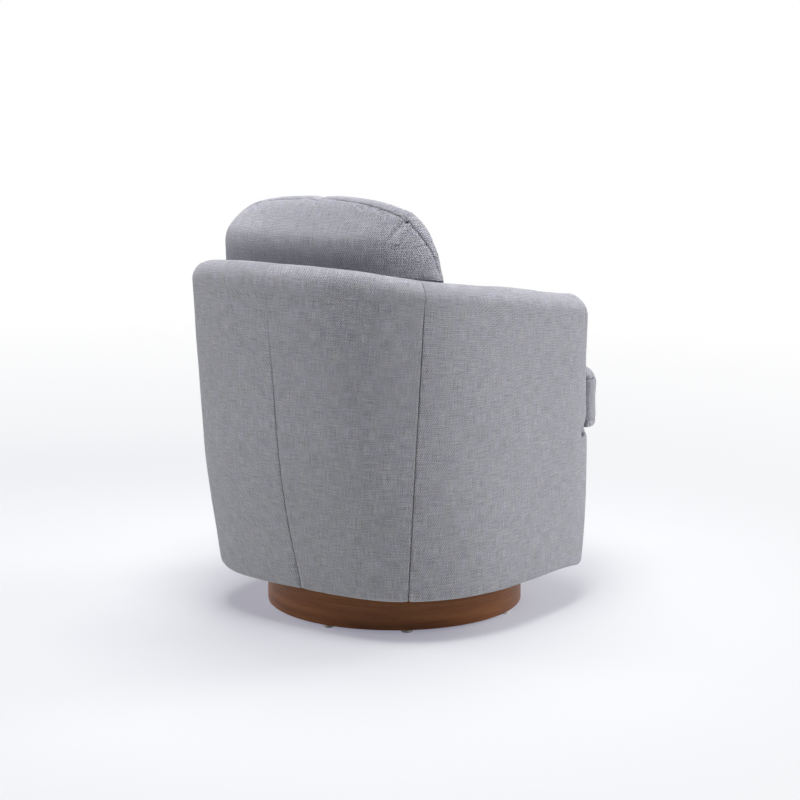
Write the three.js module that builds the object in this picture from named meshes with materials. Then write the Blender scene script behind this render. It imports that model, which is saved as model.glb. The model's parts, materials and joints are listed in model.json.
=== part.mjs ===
import * as THREE from 'three';

// Swivel barrel chair, in millimetres, +Z up.
// The origin is on the floor under the swivel. The sitter faces -Y, with the right hand at -X.

// Driving sizes
const fitGap = 0.3; // between two pieces that touch
const plinthDiameter = 508;
const plinthHeight = 78;
const plinthWall = 22;
const plinthDeckThickness = 18;
const glideThickness = 5;
const swivelHeight = 18;
const barrelBottom = 88;
const rimHeight = 711;
const barrelBack = 405; // from the swivel axis to the back, at the rim
const barrelFront = 369; // from the swivel axis to the apron
const barrelHalfWidth = 326;
const barrelCentreForward = 66; // the barrel's plan is centred ahead of the swivel
const wallThickness = 78;
const armFrontForward = 262; // from the swivel axis to the arm's front end, at its middle
const deckTop = 337;
const deckDepth = 37; // the deck pad, its springs and their clip bars
const seatCushionThickness = 126;
const seatCushionCrown = 12;
const seatCushionFront = 405;
const seatWingInset = 8; // the cushion's wing, in from the barrel's side
const seatCushionHalfWidth = barrelHalfWidth - seatWingInset;
const cushionClearance = 5;
const pillowHeight = 368;
const pillowHalfWidth = 254;
const pillowThickness = 164;
const coverThickness = 8;
const boardThickness = 18;

// The barrel's plan and profile. Shares are of the driving size that each row follows.
const backPower = 3;
const frontPower = 2.9;
const levelShares = [0, 0.1, 0.34, 0.66, 0.98];
const backShares = [0.758, 0.8, 0.891, 0.948, 1];
const widthShares = [1, 1, 0.988, 0.985, 0.978];
const frontShares = [0.908, 0.957, 1, 0.968, 0.968];
const crestAngles = [0, 15, 27, 38, 50, 67, 90, 112, 135];
const crestShares = [1, 0.999, 0.993, 0.977, 0.958, 0.938, 0.913, 0.883, 0.85];

const barrelHeight = rimHeight - barrelBottom;
const levels = levelShares.map((share) => barrelBottom + share * barrelHeight);
const profile = (size, shares) => new THREE.CubicInterpolant(levels, shares.map((s) => s * size), 1);
const backProfile = profile(barrelBack, backShares);
const widthProfile = profile(barrelHalfWidth, widthShares);
const frontProfile = profile(barrelFront, frontShares);
const crestProfile = new THREE.CubicInterpolant(
  crestAngles.map(THREE.MathUtils.degToRad), crestShares.map((s) => s * rimHeight), 1);

// Turn is the angle round the plan's centre from the back, positive towards -X.
function planPoint(turn, z) {
  const ahead = Math.cos(turn) < 0;
  const reach = ahead
    ? frontProfile.evaluate(z)[0] - barrelCentreForward
    : backProfile.evaluate(z)[0] + barrelCentreForward;
  const width = widthProfile.evaluate(z)[0];
  const power = ahead ? frontPower : backPower;
  const along = Math.abs(Math.cos(turn)) / reach;
  const across = Math.abs(Math.sin(turn)) / width;
  const r = (along ** power + across ** power) ** (-1 / power);
  return new THREE.Vector2(-r * Math.sin(turn), r * Math.cos(turn) - barrelCentreForward);
}

// A point of the barrel's wall, inset square to the outer face.
const turnStep = 0.001;
function wallPoint(turn, z, inset) {
  const outer = planPoint(turn, z);
  const along = planPoint(turn + turnStep, z).sub(planPoint(turn - turnStep, z)).normalize();
  return new THREE.Vector3(outer.x - along.y * inset, outer.y + along.x * inset, z);
}

// The rim's crest height, by the angle round the swivel axis.
function crestAt(turn) {
  const p = planPoint(turn, rimHeight);
  return crestProfile.evaluate(Math.abs(Math.atan2(-p.x, p.y)))[0];
}

// The turn at which the wall, at this inset and height, reaches this far forward.
const searchSteps = 36;
function turnAtForward(forward, z, inset) {
  let low = 0;
  let high = Math.PI;
  for (let step = 0; step < searchSteps; step += 1) {
    const middle = (low + high) / 2;
    if (-wallPoint(middle, z, inset).y < forward) low = middle;
    else high = middle;
  }
  return (low + high) / 2;
}

// Closed solids from rings of points
function solid(positions, triangles) {
  const geometry = new THREE.BufferGeometry();
  let volume = 0;
  const [a, b, c] = [new THREE.Vector3(), new THREE.Vector3(), new THREE.Vector3()];
  for (const [i, j, k] of triangles) {
    a.copy(positions[i]);
    b.copy(positions[j]);
    c.copy(positions[k]);
    volume += a.dot(b.cross(c));
  }
  const facing = volume < 0 ? triangles.map(([i, j, k]) => [i, k, j]) : triangles;
  geometry.setAttribute('position',
    new THREE.Float32BufferAttribute(positions.flatMap((p) => [p.x, p.y, p.z]), 3));
  geometry.setIndex(facing.flat());
  geometry.computeVertexNormals();
  return geometry;
}

// Joins rings of equal length into a skin, closed by a cap over each end ring.
function sweep(rings) {
  const count = rings[0].length;
  const triangles = [];
  for (let ring = 0; ring < rings.length - 1; ring += 1) {
    for (let i = 0; i < count; i += 1) {
      const next = (i + 1) % count;
      const [p, q] = [ring * count, (ring + 1) * count];
      triangles.push([p + i, p + next, q + next], [p + i, q + next, q + i]);
    }
  }
  // A cap is cut into triangles by its points' height and distance from the plan's centre.
  const cap = (ring, first) => {
    const flat = ring.map((p) => new THREE.Vector2(Math.hypot(p.x, p.y + barrelCentreForward), p.z));
    const clockwise = THREE.ShapeUtils.area(flat) < 0;
    const faces = THREE.ShapeUtils.triangulateShape(clockwise ? [...flat].reverse() : flat, []);
    const inRingOrder = clockwise ? faces.map((face) => face.map((i) => count - 1 - i).reverse()) : faces;
    return inRingOrder.map((face) => face.map((i) => i + first));
  };
  triangles.push(...cap(rings[0], 0).map((face) => face.reverse()));
  triangles.push(...cap(rings.at(-1), (rings.length - 1) * count));
  return solid(rings.flat(), triangles);
}

// Joins rings of equal length, with a point closing each end.
function domed(firstPoint, rings, lastPoint) {
  const count = rings[0].length;
  const positions = [firstPoint, ...rings.flat(), lastPoint];
  const triangles = [];
  for (let i = 0; i < count; i += 1) {
    const next = (i + 1) % count;
    triangles.push([0, 1 + next, 1 + i]);
    for (let ring = 0; ring < rings.length - 1; ring += 1) {
      const [p, q] = [1 + ring * count, 1 + (ring + 1) * count];
      triangles.push([p + i, p + next, q + next], [p + i, q + next, q + i]);
    }
    const top = 1 + (rings.length - 1) * count;
    triangles.push([top + i, top + next, positions.length - 1]);
  }
  return solid(positions, triangles);
}

// A wall piece between two turns. Each turn may change with height; section gives [inset, z] pairs.
function wallPiece(fromTurn, toTurn, steps, section) {
  const rings = [];
  for (let step = 0; step <= steps; step += 1) {
    const turnAt = (z) => THREE.MathUtils.lerp(fromTurn(z), toTurn(z), step / steps);
    rings.push(section(turnAt(rimHeight)).map(([inset, z]) => wallPoint(turnAt(z), z, inset)));
  }
  return sweep(rings);
}

function mirrored(geometry) {
  const positions = [];
  const source = geometry.getAttribute('position');
  for (let i = 0; i < source.count; i += 1) {
    positions.push(new THREE.Vector3(-source.getX(i), source.getY(i), source.getZ(i)));
  }
  const index = [...geometry.getIndex().array];
  const triangles = index.filter((_, i) => i % 3 === 0).map((_, i) => index.slice(3 * i, 3 * i + 3));
  return solid(positions, triangles);
}

// Finishes
function finish(color, roughness, metalness = 0) {
  return new THREE.MeshStandardMaterial({ color, roughness, metalness });
}
const linen = finish(0xa9adb6, 0.9);
const walnut = finish(0x6e3b26, 0.4);
const plywood = finish(0xc9a878, 0.7);
const steel = finish(0x9a9c9e, 0.35, 1);
const nylon = finish(0xefefec, 0.5);
const felt = finish(0xd8d4cb, 0.95);
const blackCloth = finish(0x17171a, 0.95);

const chair = new THREE.Group();
function add(name, geometry, material, place = [0, 0, 0]) {
  const mesh = new THREE.Mesh(geometry, material);
  mesh.name = name;
  mesh.position.set(...place);
  chair.add(mesh);
  return mesh;
}

// Plinth: a walnut ring that holds a deck on glue blocks and stands on glides
const plinthRadius = plinthDiameter / 2;
const plinthInner = plinthRadius - plinthWall;
const plinthBottom = glideThickness + fitGap;
const plinthChamfer = 1.5;
const plinthSides = 64;

function lathe(points, sides) {
  const geometry = new THREE.LatheGeometry(points.map(([r, z]) => new THREE.Vector2(r, z)), sides);
  return geometry.rotateX(Math.PI / 2);
}

function plinthRing() {
  const c = plinthChamfer;
  return lathe([
    [plinthInner, plinthBottom], [plinthRadius - c, plinthBottom], [plinthRadius, plinthBottom + c],
    [plinthRadius, plinthHeight - c], [plinthRadius - c, plinthHeight], [plinthInner, plinthHeight],
    [plinthInner, plinthBottom],
  ], plinthSides);
}

// Swivel: two steel plates on a ball ring, turning on a hollow rivet
const swivelPlateSize = 220;
const swivelPlateThickness = 3;
const swivelPlateCorner = 12;
const ballRingOuter = 82;
const ballRingInner = 64;
const rivetRadius = 16;
const rivetWall = 4;
const rivetHeadOverhang = 6;
const rivetHeadThickness = 2;
const screwInset = 22;
const screwRadius = 3;
const screwHeadRadius = 6;
const screwHeadHeight = 2.6;
const screwLength = 15;
const lowerPlateBottom = plinthHeight + fitGap;
const upperPlateTop = plinthHeight + swivelHeight;
const upperPlateBottom = upperPlateTop - swivelPlateThickness;
const lowerPlateTop = lowerPlateBottom + swivelPlateThickness;
const screwOffset = swivelPlateSize / 2 - screwInset;
const screwPlaces = [[1, 1], [-1, 1], [-1, -1], [1, -1]]
  .map(([x, y]) => [x * screwOffset, y * screwOffset]);
const holeSides = 10;

function circlePath(x, y, radius, sides) {
  const points = [];
  for (let i = 0; i < sides; i += 1) {
    const angle = (2 * Math.PI * i) / sides;
    points.push(new THREE.Vector2(x + radius * Math.cos(angle), y + radius * Math.sin(angle)));
  }
  return new THREE.Path(points);
}

function extruded(shape, depth) {
  return new THREE.ExtrudeGeometry(shape, { depth, bevelEnabled: false, curveSegments: 1 });
}

// Holes are drawn to hold a round shank of the same number of sides.
const clearOf = (radius, sides) => (radius + fitGap) / Math.cos(Math.PI / sides);

function drilledPlate(outline, thickness, centreHole) {
  const shape = new THREE.Shape(outline);
  const sides = 2 * holeSides;
  shape.holes.push(circlePath(0, 0, clearOf(centreHole, sides), sides));
  for (const [x, y] of screwPlaces) {
    shape.holes.push(circlePath(x, y, clearOf(screwRadius, holeSides), holeSides));
  }
  return extruded(shape, thickness);
}

function squareOutline(size, corner) {
  const h = size / 2;
  const c = h - corner;
  return [[c, -h], [h, -c], [h, c], [c, h], [-c, h], [-h, c], [-h, -c], [-c, -h]]
    .map(([x, y]) => new THREE.Vector2(x, y));
}

function swivelPlate() {
  return drilledPlate(squareOutline(swivelPlateSize, swivelPlateCorner), swivelPlateThickness, rivetRadius);
}

const rivetClearRadius = rivetRadius + rivetHeadOverhang;

function plinthDeck() {
  const outline = circlePath(0, 0, plinthInner - fitGap, plinthSides).getPoints().slice(0, plinthSides);
  return drilledPlate(outline, plinthDeckThickness, rivetClearRadius);
}

function rivet() {
  const foot = lowerPlateBottom - fitGap;
  const shoulder = upperPlateTop + fitGap;
  const head = rivetRadius + rivetHeadOverhang;
  const bore = rivetRadius - rivetWall;
  return lathe([
    [bore, foot - rivetHeadThickness], [head, foot - rivetHeadThickness], [head, foot], [rivetRadius, foot],
    [rivetRadius, shoulder], [head, shoulder], [head, shoulder + rivetHeadThickness],
    [bore, shoulder + rivetHeadThickness], [bore, foot - rivetHeadThickness],
  ], 2 * holeSides);
}

function ballRing() {
  const bottom = lowerPlateTop + fitGap;
  const top = upperPlateBottom - fitGap;
  const middle = (bottom + top) / 2;
  const flat = (ballRingOuter - ballRingInner) / 4;
  return lathe([
    [ballRingInner, middle], [ballRingInner + flat, bottom], [ballRingOuter - flat, bottom],
    [ballRingOuter, middle], [ballRingOuter - flat, top], [ballRingInner + flat, top],
    [ballRingInner, middle],
  ], 2 * holeSides);
}

// A screw with its head's underside at z = 0 and its shank pointing down.
function screw() {
  const tip = screwRadius;
  return lathe([
    [0, -screwLength], [screwRadius, tip - screwLength], [screwRadius, 0], [screwHeadRadius, 0],
    [screwHeadRadius, screwHeadHeight / 2], [screwHeadRadius / 2, screwHeadHeight], [0, screwHeadHeight],
  ], holeSides);
}

const blockLength = 60;
const blockDepth = 25;
const blockHeight = 35;
const glideRadius = 11;
const glideSides = 12;
const glideShares = [0.014, 0.117, 0.274, 0.39, 0.514, 0.625, 0.76, 0.88]; // of a turn, from the back
const glideCircle = plinthRadius - glideRadius;

function glide() {
  const edge = glideThickness / 4;
  return lathe([
    [0, 0], [glideRadius - edge, 0], [glideRadius, edge], [glideRadius, glideThickness],
    [0, glideThickness],
  ], glideSides);
}

add('plinth_ring', plinthRing(), walnut);
add('plinth_deck', plinthDeck(), plywood, [0, 0, plinthHeight - plinthDeckThickness]);
for (let i = 0; i < 4; i += 1) {
  const angle = (i * Math.PI) / 2;
  const outer = Math.sqrt((plinthInner - fitGap) ** 2 - (blockLength / 2) ** 2);
  const z = plinthHeight - plinthDeckThickness - fitGap - blockHeight / 2;
  const r = outer - blockDepth / 2;
  const block = new THREE.BoxGeometry(blockLength, blockDepth, blockHeight);
  const mesh = add(`plinth_block_${i + 1}`, block, plywood, [r * Math.sin(angle), r * Math.cos(angle), z]);
  mesh.rotation.z = -angle;
}
glideShares.forEach((share, i) => {
  const angle = 2 * Math.PI * share;
  const place = [-glideCircle * Math.sin(angle), glideCircle * Math.cos(angle), 0];
  add(`glide_${i + 1}`, glide(), nylon, place);
});
add('swivel_lower_plate', swivelPlate(), steel, [0, 0, lowerPlateBottom]);
add('swivel_ball_ring', ballRing(), steel);
add('swivel_rivet', rivet(), steel);
add('swivel_upper_plate', swivelPlate(), steel, [0, 0, upperPlateBottom]);
screwPlaces.forEach(([x, y], i) => {
  add(`lower_plate_screw_${i + 1}`, screw(), steel, [x, y, lowerPlateTop + fitGap]);
  const upper = add(`upper_plate_screw_${i + 1}`, screw(), steel, [x, y, upperPlateBottom - fitGap]);
  upper.rotation.x = Math.PI;
});

// Barrel layers, as insets from the outer face
const frameOuter = coverThickness + fitGap;
const frameInner = frameOuter + boardThickness;
const padOuter = frameInner + fitGap;
const rimOuterWidth = 33;
const rimOuterDrop = 34;
const rimInnerDrop = 40;
const rimHem = 40;
const bottomRound = 10;
const coverFlap = 34; // turned in under the frame
const frameBelowCrest = 55;
const padBottom = deckTop - deckDepth;
const chassisBottom = upperPlateTop + fitGap;
const frameBottom = barrelBottom + coverThickness + fitGap;
const armNoseRound = 36; // the arm's front end, seen from above
const armCornerRound = 60; // the arm's front top corner, seen from the side
const armNoseLength = 58;
const armThickness = 72; // at the arm's front end
const armHeight = (deckTop + rimHeight) / 2;
const sideSeamTurnTop = THREE.MathUtils.degToRad(38.8);
const sideSeamTurnBottom = THREE.MathUtils.degToRad(33.7);
const seamHalfGap = fitGap / (2 * barrelHalfWidth); // as a turn
const noseTurn = turnAtForward(armFrontForward - armNoseLength, armHeight, armThickness / 2);
const frontClearance = 7; // in half seam gaps, as the wall bends at the arm's end
const frontTurn = noseTurn + frontClearance * seamHalfGap; // where the front pieces start

// The wall thins a little along the arm, from the widest place to the nose.
function thicknessAt(turn) {
  const share = THREE.MathUtils.clamp((Math.abs(turn) - Math.PI / 2) / (noseTurn - Math.PI / 2), 0, 1);
  return THREE.MathUtils.lerp(wallThickness, armThickness, share);
}

function seamTurn(z) {
  return THREE.MathUtils.mapLinear(z, barrelBottom, rimHeight, sideSeamTurnBottom, sideSeamTurnTop);
}

const fixedTurn = (turn) => () => turn;

// A quarter of an ellipse from [x0, z0] to [x1, z1]; flatFirst sets which end runs level.
function quarter(x0, z0, x1, z1, steps, flatFirst) {
  const points = [];
  for (let i = 0; i <= steps; i += 1) {
    const angle = (Math.PI / 2) * (i / steps);
    const [late, early] = [1 - Math.cos(angle), Math.sin(angle)];
    const x = THREE.MathUtils.lerp(x0, x1, flatFirst ? early : late);
    points.push([x, THREE.MathUtils.lerp(z0, z1, flatFirst ? late : early)]);
  }
  return points;
}

function wallLine(inset, from, to, steps) {
  const points = [];
  for (let i = 1; i < steps; i += 1) points.push([inset, THREE.MathUtils.lerp(from, to, i / steps)]);
  return points;
}

// Every layer bends at the same heights, up to the pad's foot and then up to the frame's top.
const lowerSteps = 3;
const upperSteps = 4;
const roundSteps = 4;
const wallFoot = barrelBottom + bottomRound;

function lowerLevels(inset) {
  return [[inset, wallFoot], ...wallLine(inset, wallFoot, padBottom, lowerSteps), [inset, padBottom]];
}

function upperLevels(inset, crest) {
  const top = crest - frameBelowCrest;
  return [...wallLine(inset, padBottom, top, upperSteps), [inset, top]];
}

// The rim's round over a wall, from the outer face to the inner one, shrunk by the skin inside it.
function rimRound(crest, wall, skin) {
  const width = rimOuterWidth * (wall / wallThickness);
  return [
    ...quarter(skin, crest - rimOuterDrop, width, crest - skin, roundSteps, false),
    ...quarter(width, crest - skin, wall - skin, crest - rimInnerDrop, roundSteps, true).slice(1),
  ];
}

// The outer cover: turned in under the frame, up the wall, over the rim and down to its hem.
function coverSection(turn) {
  const crest = crestAt(turn);
  const wall = thicknessAt(turn);
  const skin = coverThickness;
  const hem = crest - rimInnerDrop - rimHem;
  return [
    [coverFlap, barrelBottom],
    ...quarter(0, wallFoot, bottomRound, barrelBottom, roundSteps - 2, false).slice(1).reverse(),
    ...lowerLevels(0), ...upperLevels(0, crest),
    ...rimRound(crest, wall, 0),
    [wall, hem], [wall - skin, hem],
    ...rimRound(crest, wall, skin).reverse(),
    ...upperLevels(skin, crest).reverse(), ...lowerLevels(skin).reverse(),
    [skin, barrelBottom + skin], [coverFlap, barrelBottom + skin],
  ];
}

// Its faces run the same way as the faces that they meet, so that bent faces are cut alike.
function frameSection(turn) {
  const crest = crestAt(turn);
  return [
    ...upperLevels(frameOuter, crest).reverse(), ...lowerLevels(frameOuter).reverse(),
    [frameOuter, frameBottom], [frameInner, frameBottom],
    ...lowerLevels(frameInner), ...upperLevels(frameInner, crest),
  ];
}

// The inner pad fills the wall over the frame, under the rim's cover.
function padSection(turn) {
  const crest = crestAt(turn);
  const wall = thicknessAt(turn);
  const under = coverThickness + fitGap;
  const hem = crest - rimInnerDrop - rimHem - fitGap;
  const frameTop = crest - frameBelowCrest + fitGap;
  return [
    [padOuter, padBottom], ...upperLevels(padOuter, crest).slice(0, -1), [padOuter, frameTop],
    [frameOuter, frameTop],
    ...rimRound(crest, wall, under),
    [wall - under, hem], [wall, hem],
    ...wallLine(wall, hem, padBottom, upperSteps),
    [wall, padBottom],
  ];
}

// Stations round half the barrel: back centre to side seam, to the arm's nose, to the front centre.
const backSteps = 7;
const sideSteps = 11;
const apronSteps = 16;

function stations(z) {
  const turns = [];
  const run = (from, to, steps) => {
    for (let i = 0; i < steps; i += 1) turns.push(THREE.MathUtils.lerp(from, to, i / steps));
  };
  run(0, seamTurn(z), backSteps);
  run(seamTurn(z), noseTurn, sideSteps);
  run(noseTurn, Math.PI, apronSteps / 2);
  return [...turns, Math.PI];
}

function sidePiece(section) {
  const from = (z) => seamTurn(z) + seamHalfGap;
  return wallPiece(from, fixedTurn(noseTurn - seamHalfGap), sideSteps, section);
}

const toSideSeam = (z) => seamTurn(z) - seamHalfGap;

function backPiece(section) {
  const from = (z) => seamHalfGap - seamTurn(z);
  return wallPiece(from, toSideSeam, 2 * backSteps, section);
}

const rightBackCover = wallPiece(fixedTurn(seamHalfGap), toSideSeam, backSteps, coverSection);
add('barrel_frame_back', backPiece(frameSection), plywood);
add('inner_back_pad', backPiece(padSection), linen);

// Arm front: a full pad that closes the arm's end, round in plan and at its top corner
const noseSteps = 7;
const noseEndShare = 0.9; // of the quarter turn, which leaves a narrow face at the tip

function armFront() {
  const rings = [];
  const bottom = deckTop + fitGap;
  const straight = armFrontForward - armNoseRound;
  const noseStations = [[-wallPoint(frontTurn, armHeight, armThickness / 2).y, 1]];
  for (let i = 0; i <= noseSteps; i += 1) {
    const angle = (Math.PI / 2) * (1 - (i / noseSteps) * noseEndShare);
    noseStations.push([straight + armNoseRound * Math.cos(angle), Math.sin(angle)]);
  }
  for (const [forward, share] of noseStations) {
    const turn = turnAtForward(forward, armHeight, armThickness / 2);
    const toTip = Math.min(armFrontForward - forward, armCornerRound);
    const drop = armCornerRound - Math.sqrt(armCornerRound ** 2 - (armCornerRound - toTip) ** 2);
    const crest = crestAt(turn) - drop;
    const shift = (armThickness * (1 - share)) / 2;
    const outline = [
      [0, bottom],
      ...wallLine(0, bottom, crest - rimOuterDrop, upperSteps),
      ...rimRound(crest, armThickness, 0),
      ...wallLine(armThickness, crest - rimInnerDrop, bottom, upperSteps),
      [armThickness, bottom],
    ].map(([inset, z]) => [shift + inset * share, z]);
    rings.push(outline.map(([inset, z]) => wallPoint(turn, z, inset)));
  }
  return sweep(rings);
}

const rightArmFront = armFront();
for (const [name, right, material] of [
  ['cover_back', rightBackCover, linen],
  ['cover_side', sidePiece(coverSection), linen],
  ['barrel_frame', sidePiece(frameSection), plywood],
  ['inner_arm_pad', sidePiece(padSection), linen],
  ['arm_front', rightArmFront, linen],
]) {
  add(`${name}_right`, right, material);
  add(`${name}_left`, mirrored(right), material);
}

// Front: a padded apron over a curved rail, from one arm's nose round to the other's
const apronRound = 14;
const apronFlap = 60;

function apronSection() {
  const skin = coverThickness;
  return [
    [coverFlap, barrelBottom],
    ...quarter(0, wallFoot, bottomRound, barrelBottom, roundSteps - 2, false).slice(1).reverse(),
    ...lowerLevels(0),
    ...quarter(0, deckTop - apronRound, apronRound, deckTop, roundSteps - 2, false),
    [apronFlap, deckTop], [apronFlap, deckTop - skin], [skin, deckTop - skin],
    ...lowerLevels(skin).reverse(),
    [skin, barrelBottom + skin], [coverFlap, barrelBottom + skin],
  ];
}

function frontRailSection() {
  const top = deckTop - coverThickness - fitGap;
  return [
    [frameOuter, top], ...lowerLevels(frameOuter).reverse(),
    [frameOuter, frameBottom], [frameInner, frameBottom],
    ...lowerLevels(frameInner), [frameInner, top],
  ];
}

const fromNose = fixedTurn(frontTurn);
const toNose = fixedTurn(2 * Math.PI - frontTurn);
add('front_apron', wallPiece(fromNose, toNose, apronSteps, apronSection), linen);
add('front_rail', wallPiece(fromNose, toNose, apronSteps, frontRailSection), plywood);

// Chassis board and dust cover
// Half outlines run from the back centre round the -X side to the front centre.
function wholeOutline(half) {
  const otherSide = half.slice(1, -1).reverse();
  return [...half, ...otherSide.map((p) => new THREE.Vector2(-p.x, p.y))];
}

function stationPoints(z, inset) {
  return stations(z).map((turn) => {
    const p = wallPoint(turn, z, inset);
    return new THREE.Vector2(p.x, p.y);
  });
}

function planOutline(z, inset) {
  const half = stationPoints(z, inset);
  half[0].x = 0;
  half.at(-1).x = 0;
  return wholeOutline(half);
}

// Half the clear width between the walls at this inset, at one place along Y.
function halfWidthAt(y, z, inset) {
  const points = stationPoints(z, inset);
  const after = points.findIndex((p) => p.y < y);
  const [p, q] = [points[after - 1], points[after]];
  return -THREE.MathUtils.mapLinear(y, p.y, q.y, p.x, q.x);
}

const dustCoverThickness = 1.5;
const dustCoverInset = 24;
const dustCoverHole = 165;

function dustCover() {
  const shape = new THREE.Shape(planOutline(barrelBottom, dustCoverInset));
  shape.holes.push(circlePath(0, 0, dustCoverHole, 4 * holeSides));
  return extruded(shape, dustCoverThickness);
}

const chassisOutline = planOutline(frameBottom, padOuter);
add('chassis_board', drilledPlate(chassisOutline, boardThickness, rivetClearRadius), plywood,
  [0, 0, chassisBottom]);
add('dust_cover', dustCover(), blackCloth, [0, 0, barrelBottom - fitGap - dustCoverThickness]);

// Seat frame: four rails, zigzag springs held in clip bars, and the deck pad
const railThickness = 26;
const railHeight = 60;
const railTop = padBottom - fitGap;
const backRailY = 195;
const frontRailForward = 232;
const sideRailGap = 2; // beside the clip bars' ends
const springWire = 1.8;
const springCount = 5;
const springEndGap = 25; // from a clip bar's end to the last spring's middle
const springHalfWidth = 22;
const springPitch = 46;
const springSquareness = 0.6; // a power that flattens the bends' ends; 1 is a plain wave
const springBendSteps = 6;
const wireSides = 4;
const clipWall = 2;
const clipLip = 14;
const clipEndGap = 6; // at the widest that the lining leaves at the back
const railMiddle = railTop - railHeight / 2;

function crossRail(y) {
  const reach = Math.min(...[-1, 1].flatMap((end) => [railTop, railTop - railHeight].map(
    (z) => halfWidthAt(y + (end * railThickness) / 2, z, padOuter))));
  return new THREE.BoxGeometry(2 * reach, railThickness, railHeight);
}

const clipZ = railTop + fitGap;
const clipBackY = backRailY + clipLip / 2;
const clipReach = halfWidthAt(clipBackY, clipZ, wallThickness) - clipEndGap;
const clipLength = 2 * clipReach;
const sideRailX = clipReach + sideRailGap + railThickness / 2;
const sideRailLength = backRailY + frontRailForward - railThickness - 2 * fitGap;
const sideRailY = (backRailY - frontRailForward) / 2;
add('seat_rail_back', crossRail(backRailY), plywood, [0, backRailY, railMiddle]);
add('seat_rail_front', crossRail(-frontRailForward), plywood, [0, -frontRailForward, railMiddle]);
for (const [name, x] of [['seat_rail_left', sideRailX], ['seat_rail_right', -sideRailX]]) {
  const rail = new THREE.BoxGeometry(railThickness, sideRailLength, railHeight);
  add(name, rail, plywood, [x, sideRailY, railMiddle]);
}

// A clip bar's C section, open towards the seat's middle; facing is 1 or -1.
const clipHeight = 2 * clipWall + 2 * (springWire + fitGap);

function clipBar(facing) {
  const w = clipWall;
  const shape = new THREE.Shape([
    [0, 0], [clipLip, 0], [clipLip, w], [w, w], [w, clipHeight - w], [clipLip, clipHeight - w],
    [clipLip, clipHeight], [0, clipHeight],
  ].map(([y, z]) => new THREE.Vector2(y * facing, z)));
  const bar = extruded(shape, clipLength);
  bar.translate(0, 0, -clipLength / 2);
  return bar.rotateX(Math.PI / 2).rotateZ(Math.PI / 2);
}

const clipFrontY = -frontRailForward - clipLip / 2;
add('spring_clip_bar_back', clipBar(-1), steel, [0, clipBackY, clipZ]);
add('spring_clip_bar_front', clipBar(1), steel, [0, clipFrontY, clipZ]);

class ZigzagCurve extends THREE.Curve {
  constructor(length, turns) {
    super();
    this.length = length;
    this.turns = turns;
  }

  getPoint(t, target = new THREE.Vector3()) {
    const swing = Math.cos(2 * Math.PI * this.turns * t);
    const x = springHalfWidth * Math.sign(swing) * Math.abs(swing) ** springSquareness;
    return target.set(x, this.length * (t - 1 / 2), 0);
  }
}

function zigzagSpring() {
  const inset = clipWall + 2 * fitGap + springWire;
  const length = clipBackY - clipFrontY - 2 * inset;
  const turns = Math.max(2, Math.round(length / springPitch));
  const section = new THREE.Shape(circlePath(0, 0, springWire, wireSides).getPoints().slice(0, wireSides));
  const curve = new ZigzagCurve(length, turns);
  const steps = springBendSteps * turns;
  return new THREE.ExtrudeGeometry(section, { steps, extrudePath: curve, curveSegments: 1 });
}

const springZ = clipZ + clipHeight / 2;
for (let i = 0; i < springCount; i += 1) {
  const x = 2 * (clipReach - springEndGap) * (i / (springCount - 1) - 1 / 2);
  add(`zigzag_spring_${i + 1}`, zigzagSpring(), steel, [x, (clipBackY + clipFrontY) / 2, springZ]);
}

// T-shaped plans: between the arms, then out in front of them
rightArmFront.computeBoundingBox();
const noseTip = -rightArmFront.boundingBox.min.y;
const noseInner = -rightArmFront.boundingBox.max.x;

// The one of two points on the wall's inner face that is nearer the plan's centre.
function narrower(p, q) {
  const reach = (point) => Math.hypot(point.x, point.y + barrelCentreForward);
  const nearest = reach(p) < reach(q) ? p : q;
  return new THREE.Vector2(nearest.x, nearest.y);
}

// The space between the arms, from the back centre to the arm's nose on the -X side.
function neckPoints(clearance, zLow, zHigh) {
  const [low, high, rim] = [stations(zLow), stations(zHigh), stations(rimHeight)];
  const points = [];
  for (let i = 0; i <= backSteps + sideSteps; i += 1) {
    const inset = thicknessAt(rim[i]) + clearance;
    points.push(narrower(wallPoint(low[i], zLow, inset), wallPoint(high[i], zHigh, inset)));
  }
  points[0].x = 0;
  return points;
}

function deckOutline() {
  const half = neckPoints(fitGap, railTop, deckTop);
  const inset = apronFlap + fitGap;
  const turns = stations(railTop).slice(backSteps + sideSteps);
  turns[0] = frontTurn;
  for (const turn of turns) {
    half.push(narrower(wallPoint(turn, railTop, inset), wallPoint(turn, deckTop, inset)));
  }
  half.at(-1).x = 0;
  return wholeOutline(half);
}

const deckBottom = clipZ + clipHeight + fitGap;
const deckShape = new THREE.Shape(deckOutline());
add('deck_pad', extruded(deckShape, deckTop - deckBottom), felt, [0, 0, deckBottom]);

// Seat cushion: T-shaped, crowned, with rounded edges and sides drawn in between its seams
const seatCushionLift = 120;
const seatCushionFrontPower = 3.3;
const seatCushionEdge = 24;
const seatSideDraw = 5;
const seatBottom = deckTop + fitGap;
const seatEdgeTop = seatBottom + seatCushionThickness - seatCushionCrown;
const wingGap = 4; // between the arm's front and the cushion's wing
const seatFrontSteps = 14;
const seatCrownPower = 4; // how flat the crown runs from back to front
// The edge's rings in shares of the edge: how far in, and how far from the foot or the top.
const seatFootShares = [[1, 0], [1 / 3, 1 / 6], [0, 1 / 2]];
const seatTopShares = [[0, 1], [1 / 6, 1 / 2], [1 / 2, 1 / 6], [7 / 5, 0]];
const seatCrownShares = [2 / 3, 1 / 3]; // of the plan, over the crown

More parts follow.
